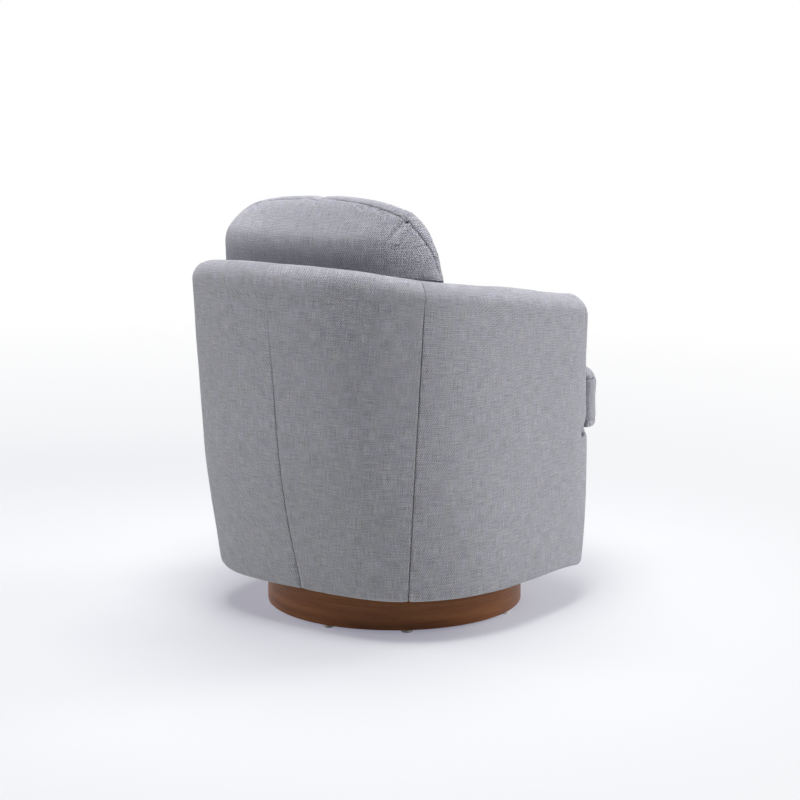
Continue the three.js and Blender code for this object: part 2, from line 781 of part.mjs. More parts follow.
function seatOutline() {
  const half = neckPoints(cushionClearance, seatBottom, seatEdgeTop + seatCushionLift);
  const inner = half.at(-1);
  inner.x = cushionClearance - noseInner;
  const wingBack = -(noseTip + wingGap);
  half.push(new THREE.Vector2(inner.x, wingBack));
  const reach = seatCushionFront - barrelCentreForward;
  const power = seatCushionFrontPower;
  const backShare = (-wingBack - barrelCentreForward) / reach;
  const outerX = -seatCushionHalfWidth * (1 - backShare ** power) ** (1 / power);
  half.push(new THREE.Vector2((inner.x + outerX) / 2, wingBack));
  const startTurn = Math.atan2(-outerX, -(backShare * reach));
  for (let i = 0; i <= seatFrontSteps; i += 1) {
    const turn = THREE.MathUtils.lerp(startTurn, Math.PI, i / seatFrontSteps);
    const along = Math.abs(Math.cos(turn)) / reach;
    const across = Math.abs(Math.sin(turn)) / seatCushionHalfWidth;
    const r = (along ** power + across ** power) ** (-1 / power);
    half.push(new THREE.Vector2(-r * Math.sin(turn), r * Math.cos(turn) - barrelCentreForward));
  }
  half.at(-1).x = 0;
  return wholeOutline(half);
}

const seatBack = seatOutline()[0].y;

function seatTopAt(x, y) {
  const middle = (seatBack - seatCushionFront) / 2;
  const across = x / seatCushionHalfWidth;
  const along = (y - middle) / (seatBack - middle);
  return seatEdgeTop + seatCushionCrown * Math.max(0, 1 - across ** 2)
    * Math.max(0, 1 - along ** seatCrownPower);
}

function seatCushion() {
  const outline = seatOutline();
  const hub = new THREE.Vector2(0, -(noseTip + 2 * cushionClearance + seatCushionEdge));
  const ring = (inset, heightOf) => outline.map((p) => {
    const out = p.clone().sub(hub);
    const length = out.length();
    const q = hub.clone().add(out.multiplyScalar(Math.max(0, length - inset) / length));
    return new THREE.Vector3(q.x, q.y, heightOf(q));
  });
  const shrunk = (share, heightOf) => outline.map((p) => {
    const q = hub.clone().add(p.clone().sub(hub).multiplyScalar(share));
    return new THREE.Vector3(q.x, q.y, heightOf(q));
  });
  const edge = seatCushionEdge;
  const foot = () => seatBottom;
  const top = (q) => seatTopAt(q.x, q.y);
  const rings = [
    shrunk(1 / 2, foot),
    ...seatFootShares.map(([inset, rise]) => ring(inset * edge, () => seatBottom + rise * edge)),
    ring(seatSideDraw / 2, () => (seatBottom + seatEdgeTop) / 2),
    ...seatTopShares.map(([inset, drop]) => ring(inset * edge, (q) => top(q) - drop * edge)),
    ...seatCrownShares.map((share) => shrunk(share, top)),
  ];
  const [hubFoot, hubTop] = [seatBottom, top(hub)].map((z) => new THREE.Vector3(hub.x, hub.y, z));
  return domed(hubFoot, rings, hubTop);
}

const seatMesh = add('seat_cushion', seatCushion(), linen);

// Back pillow: knife-edged and crowned, bowed to the barrel, squeezed between the arms below the rim
const pillowOffset = 3; // off centre, to -X, as it stands in the chair
const pillowBow = 46;
const pillowLean = 0.1; // backwards, per unit of height
const pillowPower = 3.1;
const pillowRoundness = 2.3;
const pillowFullness = 0.6;
const pillowBackGap = 3; // between the lining and the pillow's back, before the sides are drawn in
const pillowSqueeze = 12; // clear of the barrel's lining, all round
const pillowRimClear = 8; // above the rim, where the pillow spills over it
const pillowSides = 48;
const pillowRingShares = [0.3, 0.55, 0.74, 0.87, 0.95, 0.985];

// How deep the wall reaches in at this height, or none above the rim.
function wallDepthAt(turn, z) {
  const top = crestAt(turn) + pillowRimClear;
  const wall = thicknessAt(turn);
  if (z > top) return -wallThickness;
  const drop = rimInnerDrop + pillowRimClear;
  const rise = THREE.MathUtils.clamp((z - top + drop) / drop, 0, 1);
  const width = rimOuterWidth * (wall / wallThickness);
  return width + (wall - width) * Math.sqrt(1 - rise ** 2);
}

// The lining's distance from the plan's centre, by the angle from the back and the height.
function liningReach(angle, z) {
  let [low, high] = [0, Math.PI];
  let point;
  for (let step = 0; step < searchSteps; step += 1) {
    const turn = (low + high) / 2;
    point = wallPoint(turn, z, wallDepthAt(turn, z) + pillowSqueeze);
    if (Math.atan2(-point.x, point.y + barrelCentreForward) < angle) low = turn;
    else high = turn;
  }
  return Math.hypot(point.x, point.y + barrelCentreForward);
}

// Moves a point in from the lining, towards the plan's centre.
function keptInside(point) {
  const [x, y] = [point.x, point.y + barrelCentreForward];
  const room = liningReach(Math.abs(Math.atan2(-x, y)), point.z);
  const share = Math.min(1, room / Math.hypot(x, y));
  return new THREE.Vector3(x * share, y * share - barrelCentreForward, point.z);
}

function backPillow(lift) {
  const middleZ = seatEdgeTop + pillowHeight / 2 + lift;
  const liningY = wallPoint(0, middleZ, wallThickness + pillowBackGap).y;
  const middleY = liningY - pillowThickness / 2;
  const at = (angle, share, side) => {
    const c = Math.cos(angle);
    const s = Math.sin(angle);
    const r = (Math.abs(c) ** pillowPower + Math.abs(s) ** pillowPower) ** (-1 / pillowPower);
    const x = pillowHalfWidth * r * c * share;
    const z = middleZ + (pillowHeight / 2) * r * s * share;
    const half = (pillowThickness / 2) * (1 - share ** pillowRoundness) ** pillowFullness;
    const bow = pillowBow * (x / pillowHalfWidth) ** 2;
    const y = middleY - bow + (z - middleZ) * pillowLean + side * half;
    return keptInside(new THREE.Vector3(x - pillowOffset, y, z));
  };
  const ring = (share, side) => {
    const points = [];
    for (let i = 0; i < pillowSides; i += 1) points.push(at((2 * Math.PI * i) / pillowSides, share, side));
    return points;
  };
  const rings = [
    ...pillowRingShares.map((share) => ring(share, -1)),
    ring(1, 0),
    ...[...pillowRingShares].reverse().map((share) => ring(share, 1)),
  ];
  return domed(at(0, 0, -1), rings, at(0, 0, 1));
}

// How far the upper solid can sink until it rests on the lower one.
function sinkTo(upper, lower) {
  const caster = new THREE.Raycaster();
  const down = new THREE.Vector3(0, 0, -1);
  const target = new THREE.Mesh(lower, new THREE.MeshBasicMaterial({ side: THREE.DoubleSide }));
  const points = upper.getAttribute('position');
  let least = Infinity;
  for (let i = 0; i < points.count; i += 1) {
    const start = new THREE.Vector3().fromBufferAttribute(points, i);
    start.z += pillowHeight;
    caster.set(start, down);
    const hit = caster.intersectObject(target)[0];
    if (hit) least = Math.min(least, hit.distance - pillowHeight);
  }
  return least - 2 * fitGap;
}

// The barrel squeezes the pillow differently at each height, so its height is found in a few rounds.
const settleRounds = 4;
let pillowLift = 0;
for (let round = 0; round < settleRounds; round += 1) {
  pillowLift -= sinkTo(backPillow(pillowLift), seatMesh.geometry);
}
add('back_pillow', backPillow(pillowLift), linen);

export default chair;
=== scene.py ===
import json
import math

import bmesh
import bpy
import numpy as np
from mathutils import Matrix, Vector


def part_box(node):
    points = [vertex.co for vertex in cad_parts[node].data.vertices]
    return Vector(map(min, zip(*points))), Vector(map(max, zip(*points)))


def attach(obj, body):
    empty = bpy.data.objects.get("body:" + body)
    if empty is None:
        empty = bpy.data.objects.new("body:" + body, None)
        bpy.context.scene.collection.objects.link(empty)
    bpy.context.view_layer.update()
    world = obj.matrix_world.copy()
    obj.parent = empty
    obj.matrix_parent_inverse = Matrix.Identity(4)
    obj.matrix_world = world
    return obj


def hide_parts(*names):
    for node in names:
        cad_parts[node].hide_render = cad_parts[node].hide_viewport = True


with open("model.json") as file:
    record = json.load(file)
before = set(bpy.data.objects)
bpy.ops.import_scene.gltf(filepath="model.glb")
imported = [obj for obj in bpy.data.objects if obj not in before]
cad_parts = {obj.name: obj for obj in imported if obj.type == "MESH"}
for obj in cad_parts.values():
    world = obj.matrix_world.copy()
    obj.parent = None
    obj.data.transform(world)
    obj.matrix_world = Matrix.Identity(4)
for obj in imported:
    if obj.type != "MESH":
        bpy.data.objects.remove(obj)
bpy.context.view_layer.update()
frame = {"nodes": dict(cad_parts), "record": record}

scene = bpy.context.scene
scene.view_settings.view_transform = "Standard"
mm = 0.001
print("frame loaded")

# Sizes are in millimetres, from the CAD. Turn is the angle round the barrel from its back, positive to -X.
barrel = {
    "bottom": 88, "rim": 711, "back": 405, "front": 369, "halfWidth": 326, "ahead": 66,
    "backPower": 3, "frontPower": 2.9,
    "levelShares": [0, 0.1, 0.34, 0.66, 0.98],  # heights, with the shares of each reach there
    "backShares": [0.758, 0.8, 0.891, 0.948, 1],
    "widthShares": [1, 1, 0.988, 0.985, 0.978],
    "frontShares": [0.908, 0.957, 1, 0.968, 0.968],
    "crestAngles": [0, 15, 27, 38, 50, 67, 90, 112, 135],
    "crestShares": [1, 0.999, 0.993, 0.977, 0.958, 0.938, 0.913, 0.883, 0.85],
    "wall": 78, "armWall": 72, "deckTop": 337, "padBottom": 300,
    "rimOuterWidth": 33, "rimOuterDrop": 34, "rimInnerDrop": 40, "rimHem": 40,
    "bottomRound": 10, "flap": 34, "apronRound": 14, "apronFlap": 60,
    "armFront": 262, "armNoseRound": 36, "armCornerRound": 60, "armNoseLength": 58,
    "sideSeamTop": 39.1, "sideSeamBottom": 34.6, "centreSeam": 0.9, "apronSeam": 141,  # degrees
}


def lerp(a, b, t):
    return a + (b - a) * t


def smooth(t):
    t = np.clip(t, 0, 1)
    return t * t * (3 - 2 * t)


def smoothTable(xs, ys):  # a smooth curve through a table, level past its ends
    xs, ys = np.asarray(xs, float), np.asarray(ys, float)
    last = len(xs) - 1

    def at(x):
        x = np.clip(x, xs[0], xs[-1])
        i = np.clip(np.searchsorted(xs, x, side="right"), 1, last)
        t0, t1 = xs[i - 1], xs[i]
        before, after = np.where(i > 1, i - 2, i), np.where(i < last, i + 1, i - 1)
        half = (t1 - t0) / 2
        wb, wa = half / (t0 - xs[before]), half / (xs[after] - t1)
        p = (x - t0) / (t1 - t0)
        p2, p3 = p ** 2, p ** 3
        return ((-wb * p3 + 2 * wb * p2 - wb * p) * ys[before]
                + ((1 + wb) * p3 - (1.5 + 2 * wb) * p2 + (wb - 0.5) * p + 1) * ys[i - 1]
                + (-(1 + wa) * p3 + (1.5 + wa) * p2 + 0.5 * p) * ys[i]
                + (wa * p3 - wa * p2) * ys[after])

    return at


levels = [lerp(barrel["bottom"], barrel["rim"], share) for share in barrel["levelShares"]]
backReach = smoothTable(levels, np.array(barrel["backShares"]) * barrel["back"])
sideReach = smoothTable(levels, np.array(barrel["widthShares"]) * barrel["halfWidth"])
frontReach = smoothTable(levels, np.array(barrel["frontShares"]) * barrel["front"])
crestCurve = smoothTable(np.radians(barrel["crestAngles"]), np.array(barrel["crestShares"]) * barrel["rim"])


def planPoint(turn, z):
    turn, z = np.broadcast_arrays(np.asarray(turn, float), np.asarray(z, float))
    ahead = np.cos(turn) < 0
    reach = np.where(ahead, frontReach(z) - barrel["ahead"], backReach(z) + barrel["ahead"])
    power = np.where(ahead, barrel["frontPower"], barrel["backPower"])
    r = ((np.abs(np.cos(turn)) / reach) ** power + (np.abs(np.sin(turn)) / sideReach(z)) ** power) ** (-1 / power)
    return -r * np.sin(turn), r * np.cos(turn) - barrel["ahead"]


def wallPoint(turn, z, inset):  # inset is square to the outer face
    x, y = planPoint(turn, z)
    xa, ya = planPoint(turn + 0.001, z)
    xb, yb = planPoint(turn - 0.001, z)
    ax, ay = xa - xb, ya - yb
    length = np.hypot(ax, ay)
    return np.stack([x - ay / length * inset, y + ax / length * inset, np.broadcast_to(z, x.shape)], -1)


def crestAt(turn):
    x, y = planPoint(turn, barrel["rim"])
    return crestCurve(np.abs(np.arctan2(-x, y)))


def turnAtForward(forward, z, inset):
    low, high = 0.0, math.pi
    for _ in range(36):
        middle = (low + high) / 2
        if -float(wallPoint(middle, z, inset)[1]) < forward:
            low = middle
        else:
            high = middle
    return (low + high) / 2


def seamTurn(z):
    share = (z - barrel["bottom"]) / (barrel["rim"] - barrel["bottom"])
    return np.radians(lerp(barrel["sideSeamBottom"], barrel["sideSeamTop"], share))


armHeight = (barrel["deckTop"] + barrel["rim"]) / 2
armMiddle = barrel["armWall"] / 2
noseTurn = turnAtForward(barrel["armFront"] - barrel["armNoseLength"], armHeight, armMiddle)
tipTurn = turnAtForward(barrel["armFront"], armHeight, armMiddle)
apronSeamTurn = math.radians(barrel["apronSeam"])


def wallAt(turn):  # the wall thins along the arm
    share = np.clip((np.abs(turn) - math.pi / 2) / (noseTurn - math.pi / 2), 0, 1)
    return lerp(barrel["wall"], barrel["armWall"], share)


# Meshes from grids of points. Columns run with the turn and rows up the outer face, so faces point outwards.
def gridFaces(columns, rows, first=0):
    c, r = np.meshgrid(np.arange(columns - 1), np.arange(rows - 1), indexing="ij")
    a = (first + c * rows + r).ravel()
    return np.stack([a, a + rows, a + rows + 1, a + 1], -1)


def gridNormals(points):
    n = np.cross(np.gradient(points, axis=0), np.gradient(points, axis=1))
    return n / np.maximum(np.linalg.norm(n, axis=-1, keepdims=True), 1e-9)


def runLengths(points, axis=0):  # how far each point lies along its row, or up its column
    steps = np.linalg.norm(np.diff(points, axis=axis), axis=-1)
    return np.insert(np.cumsum(steps, axis=axis), 0, 0, axis)


def gridLengths(points):  # along the rows from their middles, and up the middle column
    u = runLengths(points)
    u -= u[len(u) // 2]
    return u, np.broadcast_to(runLengths(points[len(points) // 2]), u.shape)


def distances(points, place, axis=0):  # from every point to one column, or with axis 1 to one row
    lengths = runLengths(points, axis)
    return np.abs(lengths - np.take(lengths, [place], axis))


def setSeam(mesh, seam):  # how far each point lies from the nearest seam or marked crease, where the cloth's shader paints a line of shade
    attribute = mesh.attributes.new("seam", "FLOAT", "POINT")
    attribute.data.foreach_set("value", np.asarray(seam, np.float32).ravel())


def meshValues(items, field, width=1, kind=float):
    values = np.zeros(len(items) * width, kind)
    items.foreach_get(field, values)
    return values.reshape(-1, width) if width > 1 else values


def setClothMap(mesh, uv):  # one place on the cloth for each face corner
    layer = mesh.uv_layers.new(name="cloth")
    layer.data.foreach_set("uv", (uv * mm).astype(np.float32).ravel())


def reshaped(mesh, change):
    shape = bmesh.new()
    shape.from_mesh(mesh)
    change(shape)
    shape.to_mesh(mesh)
    shape.free()


def cornerVertices(mesh):
    return meshValues(mesh.loops, "vertex_index", kind=int)


def makeMesh(name, points, faces, uv=None, seam=None, weld=0, smoothFaces=True):
    mesh = bpy.data.meshes.new(name)
    mesh.from_pydata((np.asarray(points) * mm).tolist(), [], [list(map(int, f)) for f in faces])
    if uv is not None:
        setClothMap(mesh, np.asarray(uv)[cornerVertices(mesh)])
    if seam is not None:
        setSeam(mesh, seam)

    def welded(shape):
        bmesh.ops.remove_doubles(shape, verts=shape.verts, dist=weld * mm)
        bmesh.ops.dissolve_degenerate(shape, edges=shape.edges, dist=1e-6)

    if weld:
        reshaped(mesh, welded)
    mesh.polygons.foreach_set("use_smooth", np.full(len(mesh.polygons), smoothFaces))
    mesh.update()
    piece = bpy.data.objects.new(name, mesh)
    scene.collection.objects.link(piece)
    return piece


def fromGrids(name, grids, mirror=False, weld=0.05):
    points, faces, uvs, seams, first = [], [], [], [], 0
    for grid, (u, v), seam in grids:
        columns, rows = grid.shape[:2]
        points.append(grid.reshape(-1, 3))
        uvs.append(np.stack([u, v], -1).reshape(-1, 2))
        seams.append(seam.ravel())
        faces.append(gridFaces(columns, rows, first))
        first += columns * rows
    points, faces, uvs = np.concatenate(points), np.concatenate(faces), np.concatenate(uvs)
    if mirror:
        points = points * [-1, 1, 1]
        faces = faces[:, ::-1]
    return makeMesh(name, points, faces, uvs, np.concatenate(seams), weld)


def thickened(piece, thickness):
    shell = piece.modifiers.new("thickness", "SOLIDIFY")
    shell.thickness = thickness * mm
    shell.offset = -1
    return piece


# Cloth looks: how a seam pulls the padding in, and how padding lies a little uneven.
sewing = {"groove": 2.2, "grooveWidth": 1.3, "roll": 0.8, "rollWidth": 6, "pull": 0.5, "pullReach": 12,
          "pullFrom": 4}


def ripple(along, seed=0):  # an uneven wave along a seam, from -1 to 1
    waves = [(13, 0.3), (19, 1.7), (31, 2.9), (53, 4.1)]
    return sum(np.sin(2 * math.pi * along / length + phase + seed) for length, phase in waves) / len(waves)


def seamDepth(distance, along, seed=0, strength=1):
    groove = sewing["groove"] * np.exp(-(distance / sewing["grooveWidth"]) ** 2)
    roll = sewing["roll"] * np.exp(-(distance / sewing["rollWidth"]) ** 2)
    near = np.exp(-distance / sewing["pullReach"]) * (1 - np.exp(-(distance / sewing["pullFrom"]) ** 2))
    return strength * (groove + roll + sewing["pull"] * near * ripple(along, seed))


lumps = {"radius": 330, "long": (41, 97, 63, 150), "short": (23, 47, 31, 71), "shortShare": 0.6}


def unevenness(points, size=0.6):  # long and short waves that cross, round the barrel and up it
    x, y, z = points[..., 0], points[..., 1], points[..., 2]
    around = np.arctan2(-x, y + barrel["ahead"]) * lumps["radius"]
    (a, b, c, d), (e, f, g, h) = lumps["long"], lumps["short"]
    return size * (np.sin(around / a + z / b + 0.4) * np.sin(z / c - around / d + 1.1)
                   + lumps["shortShare"] * np.sin(around / e - z / f + 2.0) * np.sin(z / g + around / h))


closePlaces = [0, 0.8, 1.6, 2.5, 3.6, 5, 7, 10, 14]
panel = {"back": 262, "side": 520, "corner": 140, "apron": 520, "insideBack": 430, "insideArm": 400,  # lengths
         "step": 6, "sideStep": 6.5, "cloth": 3}


def spread(length, step, startSeam, endSeam):  # shares along a panel, closer together at its seams
    start = closePlaces if startSeam else [0]
    end = closePlaces if endSeam else [0]
    inner = np.linspace(start[-1], length - end[-1], max(2, round((length - start[-1] - end[-1]) / step)) + 1)
    places = np.concatenate([start[:-1], inner, length - np.array(end[:-1])[::-1]])
    return places / length


# Rows over the wall: foot, bottom round, wall up to the deck, wall up to the rim, rim, and inside to the hem.
rows = {"foot": 4, "footRound": 5, "low": 42, "high": 52, "outerRound": 14, "innerRound": 14, "apronRound": 8,
        "lining": 60}
hemPlaces = 1 - np.array([1, 2.5, 5, 9, 14, 20, 27, 33.5][::-1]) / barrel["rimHem"]


def quarter(x0, z0, x1, z1, steps, flatFirst):
    angle = np.linspace(0, math.pi / 2, steps + 1)
    late, early = 1 - np.cos(angle), np.sin(angle)
    a, b = (early, late) if flatFirst else (late, early)
    return lerp(x0, x1, a), lerp(z0, z1, b)


def lowRows(topRound=0.0):  # insets and heights from the flap under the barrel up to the deck's height
    bottom, r = barrel["bottom"], barrel["bottomRound"]
    flapX = np.linspace(barrel["flap"], r, rows["foot"], endpoint=False)
    roundX, roundZ = quarter(r, bottom, 0, bottom + r, rows["footRound"], True)
    wallZ = np.linspace(bottom + r, barrel["deckTop"] - topRound, rows["low"] + 1)[1:]
    return (np.concatenate([flapX, roundX, np.zeros(rows["low"])]),
            np.concatenate([np.full(rows["foot"], bottom), roundZ, wallZ]))


def rimRows(crest, wall):  # from the deck's height over the rim to the hem inside
    width = barrel["rimOuterWidth"] * wall / barrel["wall"]
    outerZ, innerZ = crest - barrel["rimOuterDrop"], crest - barrel["rimInnerDrop"]
    wallZ = np.linspace(barrel["deckTop"], outerZ, rows["high"] + 1)
    ox, oz = quarter(0, outerZ, width, crest, rows["outerRound"], False)
    ix, iz = quarter(width, crest, wall, innerZ, rows["innerRound"], True)
    hemZ = innerZ - barrel["rimHem"] * np.concatenate([hemPlaces, [1]])
    return (np.concatenate([np.zeros(rows["high"] + 1), ox[1:], ix[1:], np.full(len(hemZ), wall)]),
            np.concatenate([wallZ, oz[1:], iz[1:], hemZ]))


droop = {"sag": 3.5, "depth": 18, "turn": 121, "width": 13, "height": 90}  # the foot hangs lower at the front corners
rimEase = {"depth": 4.5, "to": 45, "end": 110, "fade": 40, "height": 220}  # lower over the left back corner


def degreesRound(points):  # from the back, the same on both sides
    return np.degrees(np.arctan2(np.abs(points[..., 0]), points[..., 1] + barrel["ahead"]))


def settled(points, inset, mirror=False):
    turn, z = degreesRound(points), points[..., 2]
    amount = droop["sag"] + droop["depth"] * np.exp(-((turn - droop["turn"]) / droop["width"]) ** 2)
    low = smooth(1 - (z - barrel["bottom"]) / droop["height"]) \
        * smooth((barrel["flap"] - inset) / (barrel["flap"] - barrel["bottomRound"]))
    left = (points[..., 0] > 0) != mirror
    ease = rimEase["depth"] * smooth(turn / rimEase["to"]) \
        * smooth((z - crestAt(0) + rimEase["height"]) / rimEase["height"]) \
        * smooth((rimEase["end"] - turn) / rimEase["fade"])
    points[..., 2] = z - amount * low - ease * left
    return points


def wallColumns(rowsAt, fromTurn, toTurn, shares, mirror):
    columns = []
    for share in shares:
        inset, z = rowsAt(lerp(fromTurn(barrel["rim"]), toTurn(barrel["rim"]), share))
        columns.append(settled(wallPoint(lerp(fromTurn(z), toTurn(z), share), z, inset), inset, mirror))
    return np.array(columns)


def coverRows(turn):
    lowX, lowZ = lowRows()
    highX, highZ = rimRows(float(crestAt(turn)), float(wallAt(turn)))
    return np.concatenate([lowX, highX[1:]]), np.concatenate([lowZ, highZ[1:]])


def pressedIn(points, depth):
    return points - gridNormals(points) * depth[..., None]


halfGap = 0.2 / barrel["halfWidth"]
pucker = {"depth": 2.4, "width": 7, "height": 28, "rise": 26}  # at the foot of the centre seam
# The back seams are faint near the rim: what shows there, and how far down it takes to show in full
faint = {"centre": (0.15, 330), "side": (0.3, 90), "from": 40, "thin": 1.1, "centreThin": 0.2, "centrePull": 0.7}
noSeam = 40  # far enough from a seam to show none


def belowRim(points, least, reach):
    return lerp(least, 1, smooth((crestAt(0) - faint["from"] - points[..., 2]) / reach))


def clothPanel(name, grids, mirror=False):
    return thickened(fromGrids(name, grids, mirror), panel["cloth"])


def fixed(turn):
    return lambda z: np.full(np.shape(z), float(turn))


def plus(turnOf, extra):
    return lambda z: turnOf(z) + extra


# Back covers, each from the centre seam to its side seam
def backCover(side):
    centre = math.radians(barrel["centreSeam"]) * (1 if side == "right" else -1)
    shares = spread(panel["back"], panel["step"], True, True)
    grid = wallColumns(coverRows, fixed(centre + halfGap), plus(seamTurn, -halfGap), shares, side == "left")
    u, v = gridLengths(grid)
    start, end, hem = distances(grid, 0), distances(grid, -1), distances(grid, -1, 1)
    seed = 0 if side == "right" else 2
    centreShow, sideShow = belowRim(grid, *faint["centre"]), belowRim(grid, *faint["side"])
    rise = (grid[..., 2] - barrel["bottom"] - pucker["height"]) / pucker["rise"]
    depth = (seamDepth(start, v, seed) * centreShow * faint["centrePull"] + seamDepth(end, v, seed + 1) * sideShow
             + seamDepth(hem, u, seed) + pucker["depth"] * np.exp(-(start / pucker["width"]) ** 2 - rise ** 2)
             + unevenness(grid))
    seam = np.minimum(np.minimum(start + faint["thin"] * (1 - centreShow) + faint["centreThin"],
                                 end + faint["thin"] * (1 - sideShow)), hem)
    return clothPanel("back_cover_" + side, [(pressedIn(grid, depth), (u, v), seam)], side == "left")


# Side covers, each from the side seam round the arm's front end, and below it to the apron's seam
nose = {"steps": 22, "straightSteps": 5, "blend": 0.6, "seamPull": 0.8, "seamFade": 18, "hemFade": 15, "formFade": 12}


def noseColumns():
    straight = barrel["armFront"] - barrel["armNoseRound"]
    start = barrel["armFront"] - barrel["armNoseLength"]
    r = barrel["armCornerRound"]
    columns = [(f, 1.0) for f in np.linspace(start, straight, nose["straightSteps"], endpoint=False)]
    for angle in np.linspace(math.pi / 2, 0, nose["steps"] + 1):
        columns.append((straight + barrel["armNoseRound"] * math.cos(angle), math.sin(angle)))
    grid = []
    down = rows["high"] - len(hemPlaces) - 1
    for forward, share in columns:
        turn = turnAtForward(forward, armHeight, armMiddle)
        toTip = min(barrel["armFront"] - forward, r)
        crest = float(crestAt(turn)) - (r - math.sqrt(r * r - (r - toTip) ** 2))
        inset, z = rimRows(crest, barrel["armWall"])
        inset = np.concatenate([inset, np.full(down, barrel["armWall"])])
        z = np.concatenate([z, np.linspace(z[-1], barrel["deckTop"], down + 1)[1:]])
        count = len(z) // 2  # the inner half takes the outer half's heights towards the tip
        blend = float(smooth(share / nose["blend"]))
        z[count + 1:] = lerp(z[:count][::-1], z[count + 1:], blend)
        inset = lerp(armMiddle, inset, share)
        grid.append(wallPoint(turn, z, inset))
    return np.array(grid)


def lowColumns(fromTurn, toTurn, shares, roundAt):  # up to the deck, with the top turned in under the cushion
    grid, steps = [], rows["apronRound"]
    for share in shares:
        turn = lerp(fromTurn, toTurn, share)
        r = roundAt(turn)
        x, z = lowRows(r)
        rx, rz = quarter(0, barrel["deckTop"] - r, r, barrel["deckTop"], steps, False)
        flapX = np.linspace(max(r, 0.5), barrel["apronFlap"], steps + 1)[1:]
        x = np.concatenate([x, rx[1:], flapX])
        z = np.concatenate([z, rz[1:], np.full(steps, barrel["deckTop"])])
        grid.append(settled(wallPoint(turn, z, x), x))
    return np.array(grid)


def cornerRound(turn):  # below the arm's front end the top edge gets its round
    return barrel["apronRound"] * float(smooth((turn - noseTurn) / (tipTurn - noseTurn)))


# The arm's front: fuller in the middle, drawn in under the arm, and tucked in over the apron
armForm = {
    "fill": 4, "fillTurn": 124, "fillWidth": 15, "fillHeight": 575, "fillRise": 75,
    "waist": 5, "waistTurn": 108, "waistHeight": 346, "waistRise": 14,
    "tuck": 4, "tuckTurn": 112, "tuckHeight": 329, "tuckRise": 3,
    "foldFade": 10, "lineTurn": 118, "lineFade": 2,
}


def armDepth(points):
    turn, z, form = degreesRound(points), points[..., 2], armForm
    fill = form["fill"] * np.exp(-((turn - form["fillTurn"]) / form["fillWidth"]) ** 2
                                 - ((z - form["fillHeight"]) / form["fillRise"]) ** 2)

    def fold(kind):
        return form[kind] * smooth((turn - form[kind + "Turn"]) / form["foldFade"]) \
            * np.exp(-((z - form[kind + "Height"]) / form[kind + "Rise"]) ** 2)

    return fold("waist") + fold("tuck") - fill


def sideCover(side):
    seed = 4 if side == "right" else 6
    shares = spread(panel["side"], panel["sideStep"], True, False)
    wallGrid = wallColumns(coverRows, plus(seamTurn, halfGap), fixed(noseTurn), shares, side == "left")
    noseGrid = noseColumns()
    cornerShares = spread(panel["corner"], panel["step"], False, True)
    cornerGrid = lowColumns(noseTurn, apronSeamTurn, cornerShares, cornerRound)
    u, v = gridLengths(wallGrid)
    away = smooth(distances(wallGrid, -1) / nose["seamFade"])
    start, hem = distances(wallGrid, 0), distances(wallGrid, -1, 1)
    show = belowRim(wallGrid, *faint["side"])
    depth = (seamDepth(start, v, seed) * show + (seamDepth(hem, u, seed) + unevenness(wallGrid)) * away
             + armDepth(wallGrid))
    wallSeam = np.minimum(start + faint["thin"] * (1 - show), hem + noSeam * (1 - away))
    lowCount = rows["foot"] + rows["footRound"] + rows["low"]
    hemRow = wallGrid.shape[1] - lowCount - 1
    noseU, noseV = gridLengths(noseGrid)
    noseRows = np.arange(noseGrid.shape[1])
    pastHem = smooth(distances(noseGrid, hemRow, 1) / nose["hemFade"]) * (noseRows > hemRow)
    noseDepth = seamDepth(distances(noseGrid, 0), noseV, seed, nose["seamPull"]) * pastHem
    outerHalf = smooth((len(noseRows) / 2 - noseRows) / nose["formFade"])
    cornerU, cornerV = gridLengths(cornerGrid)
    cornerDepth = seamDepth(distances(cornerGrid, -1), cornerV, seed) \
        * smooth(distances(cornerGrid, 0) / nose["seamFade"])
    endU, endV = u[-1, 0], v[0, lowCount]
    noseSeam = distances(noseGrid, 0) + noSeam * (1 - pastHem)
    # the tuck over the apron is marked like a seam, so the cloth's shader paints a line of shade along its crease
    tuckLine = np.abs(cornerGrid[..., 2] - armForm["tuckHeight"]) \
        + armForm["lineFade"] * np.maximum(0, armForm["lineTurn"] - degreesRound(cornerGrid))
    cornerSeam = np.minimum(distances(cornerGrid, -1), tuckLine)
    grids = [
        (pressedIn(wallGrid, depth), (u, v), wallSeam),
        (pressedIn(noseGrid, noseDepth + armDepth(noseGrid) * outerHalf), (noseU - noseU[0] + endU, noseV + endV),
         noseSeam),
        (pressedIn(cornerGrid, cornerDepth + armDepth(cornerGrid)), (cornerU - cornerU[0] + endU, cornerV),
         cornerSeam),
    ]
    return clothPanel("side_cover_" + side, grids, side == "left")


def frontApron():
    start = apronSeamTurn + halfGap
    grid = lowColumns(start, 2 * math.pi - start, spread(panel["apron"], panel["step"], True, True),
                      lambda turn: barrel["apronRound"])
    u, v = gridLengths(grid)
    start, end = distances(grid, 0), distances(grid, -1)
    depth = seamDepth(start, v, 1) + seamDepth(end, v, 3) + unevenness(grid, 0.5)
    return clothPanel("front_apron_cover", [(pressedIn(grid, depth), (u, v), np.minimum(start, end))])


# Linings: the inside back and the inside of each arm, under the rim's hem
inside = {"hemGap": 0.3, "plump": 2.2, "plumpReach": 70, "uneven": 0.7, "armEndPull": 0.8}


def liningRows(turn):
    near = np.array([*closePlaces, 19])
    top = float(crestAt(turn)) - barrel["rimInnerDrop"] - barrel["rimHem"] - inside["hemGap"]
    z = np.concatenate([top - near, np.linspace(top - near[-1], barrel["padBottom"], rows["lining"])[1:]])
    return np.full(len(z), float(wallAt(turn))), z


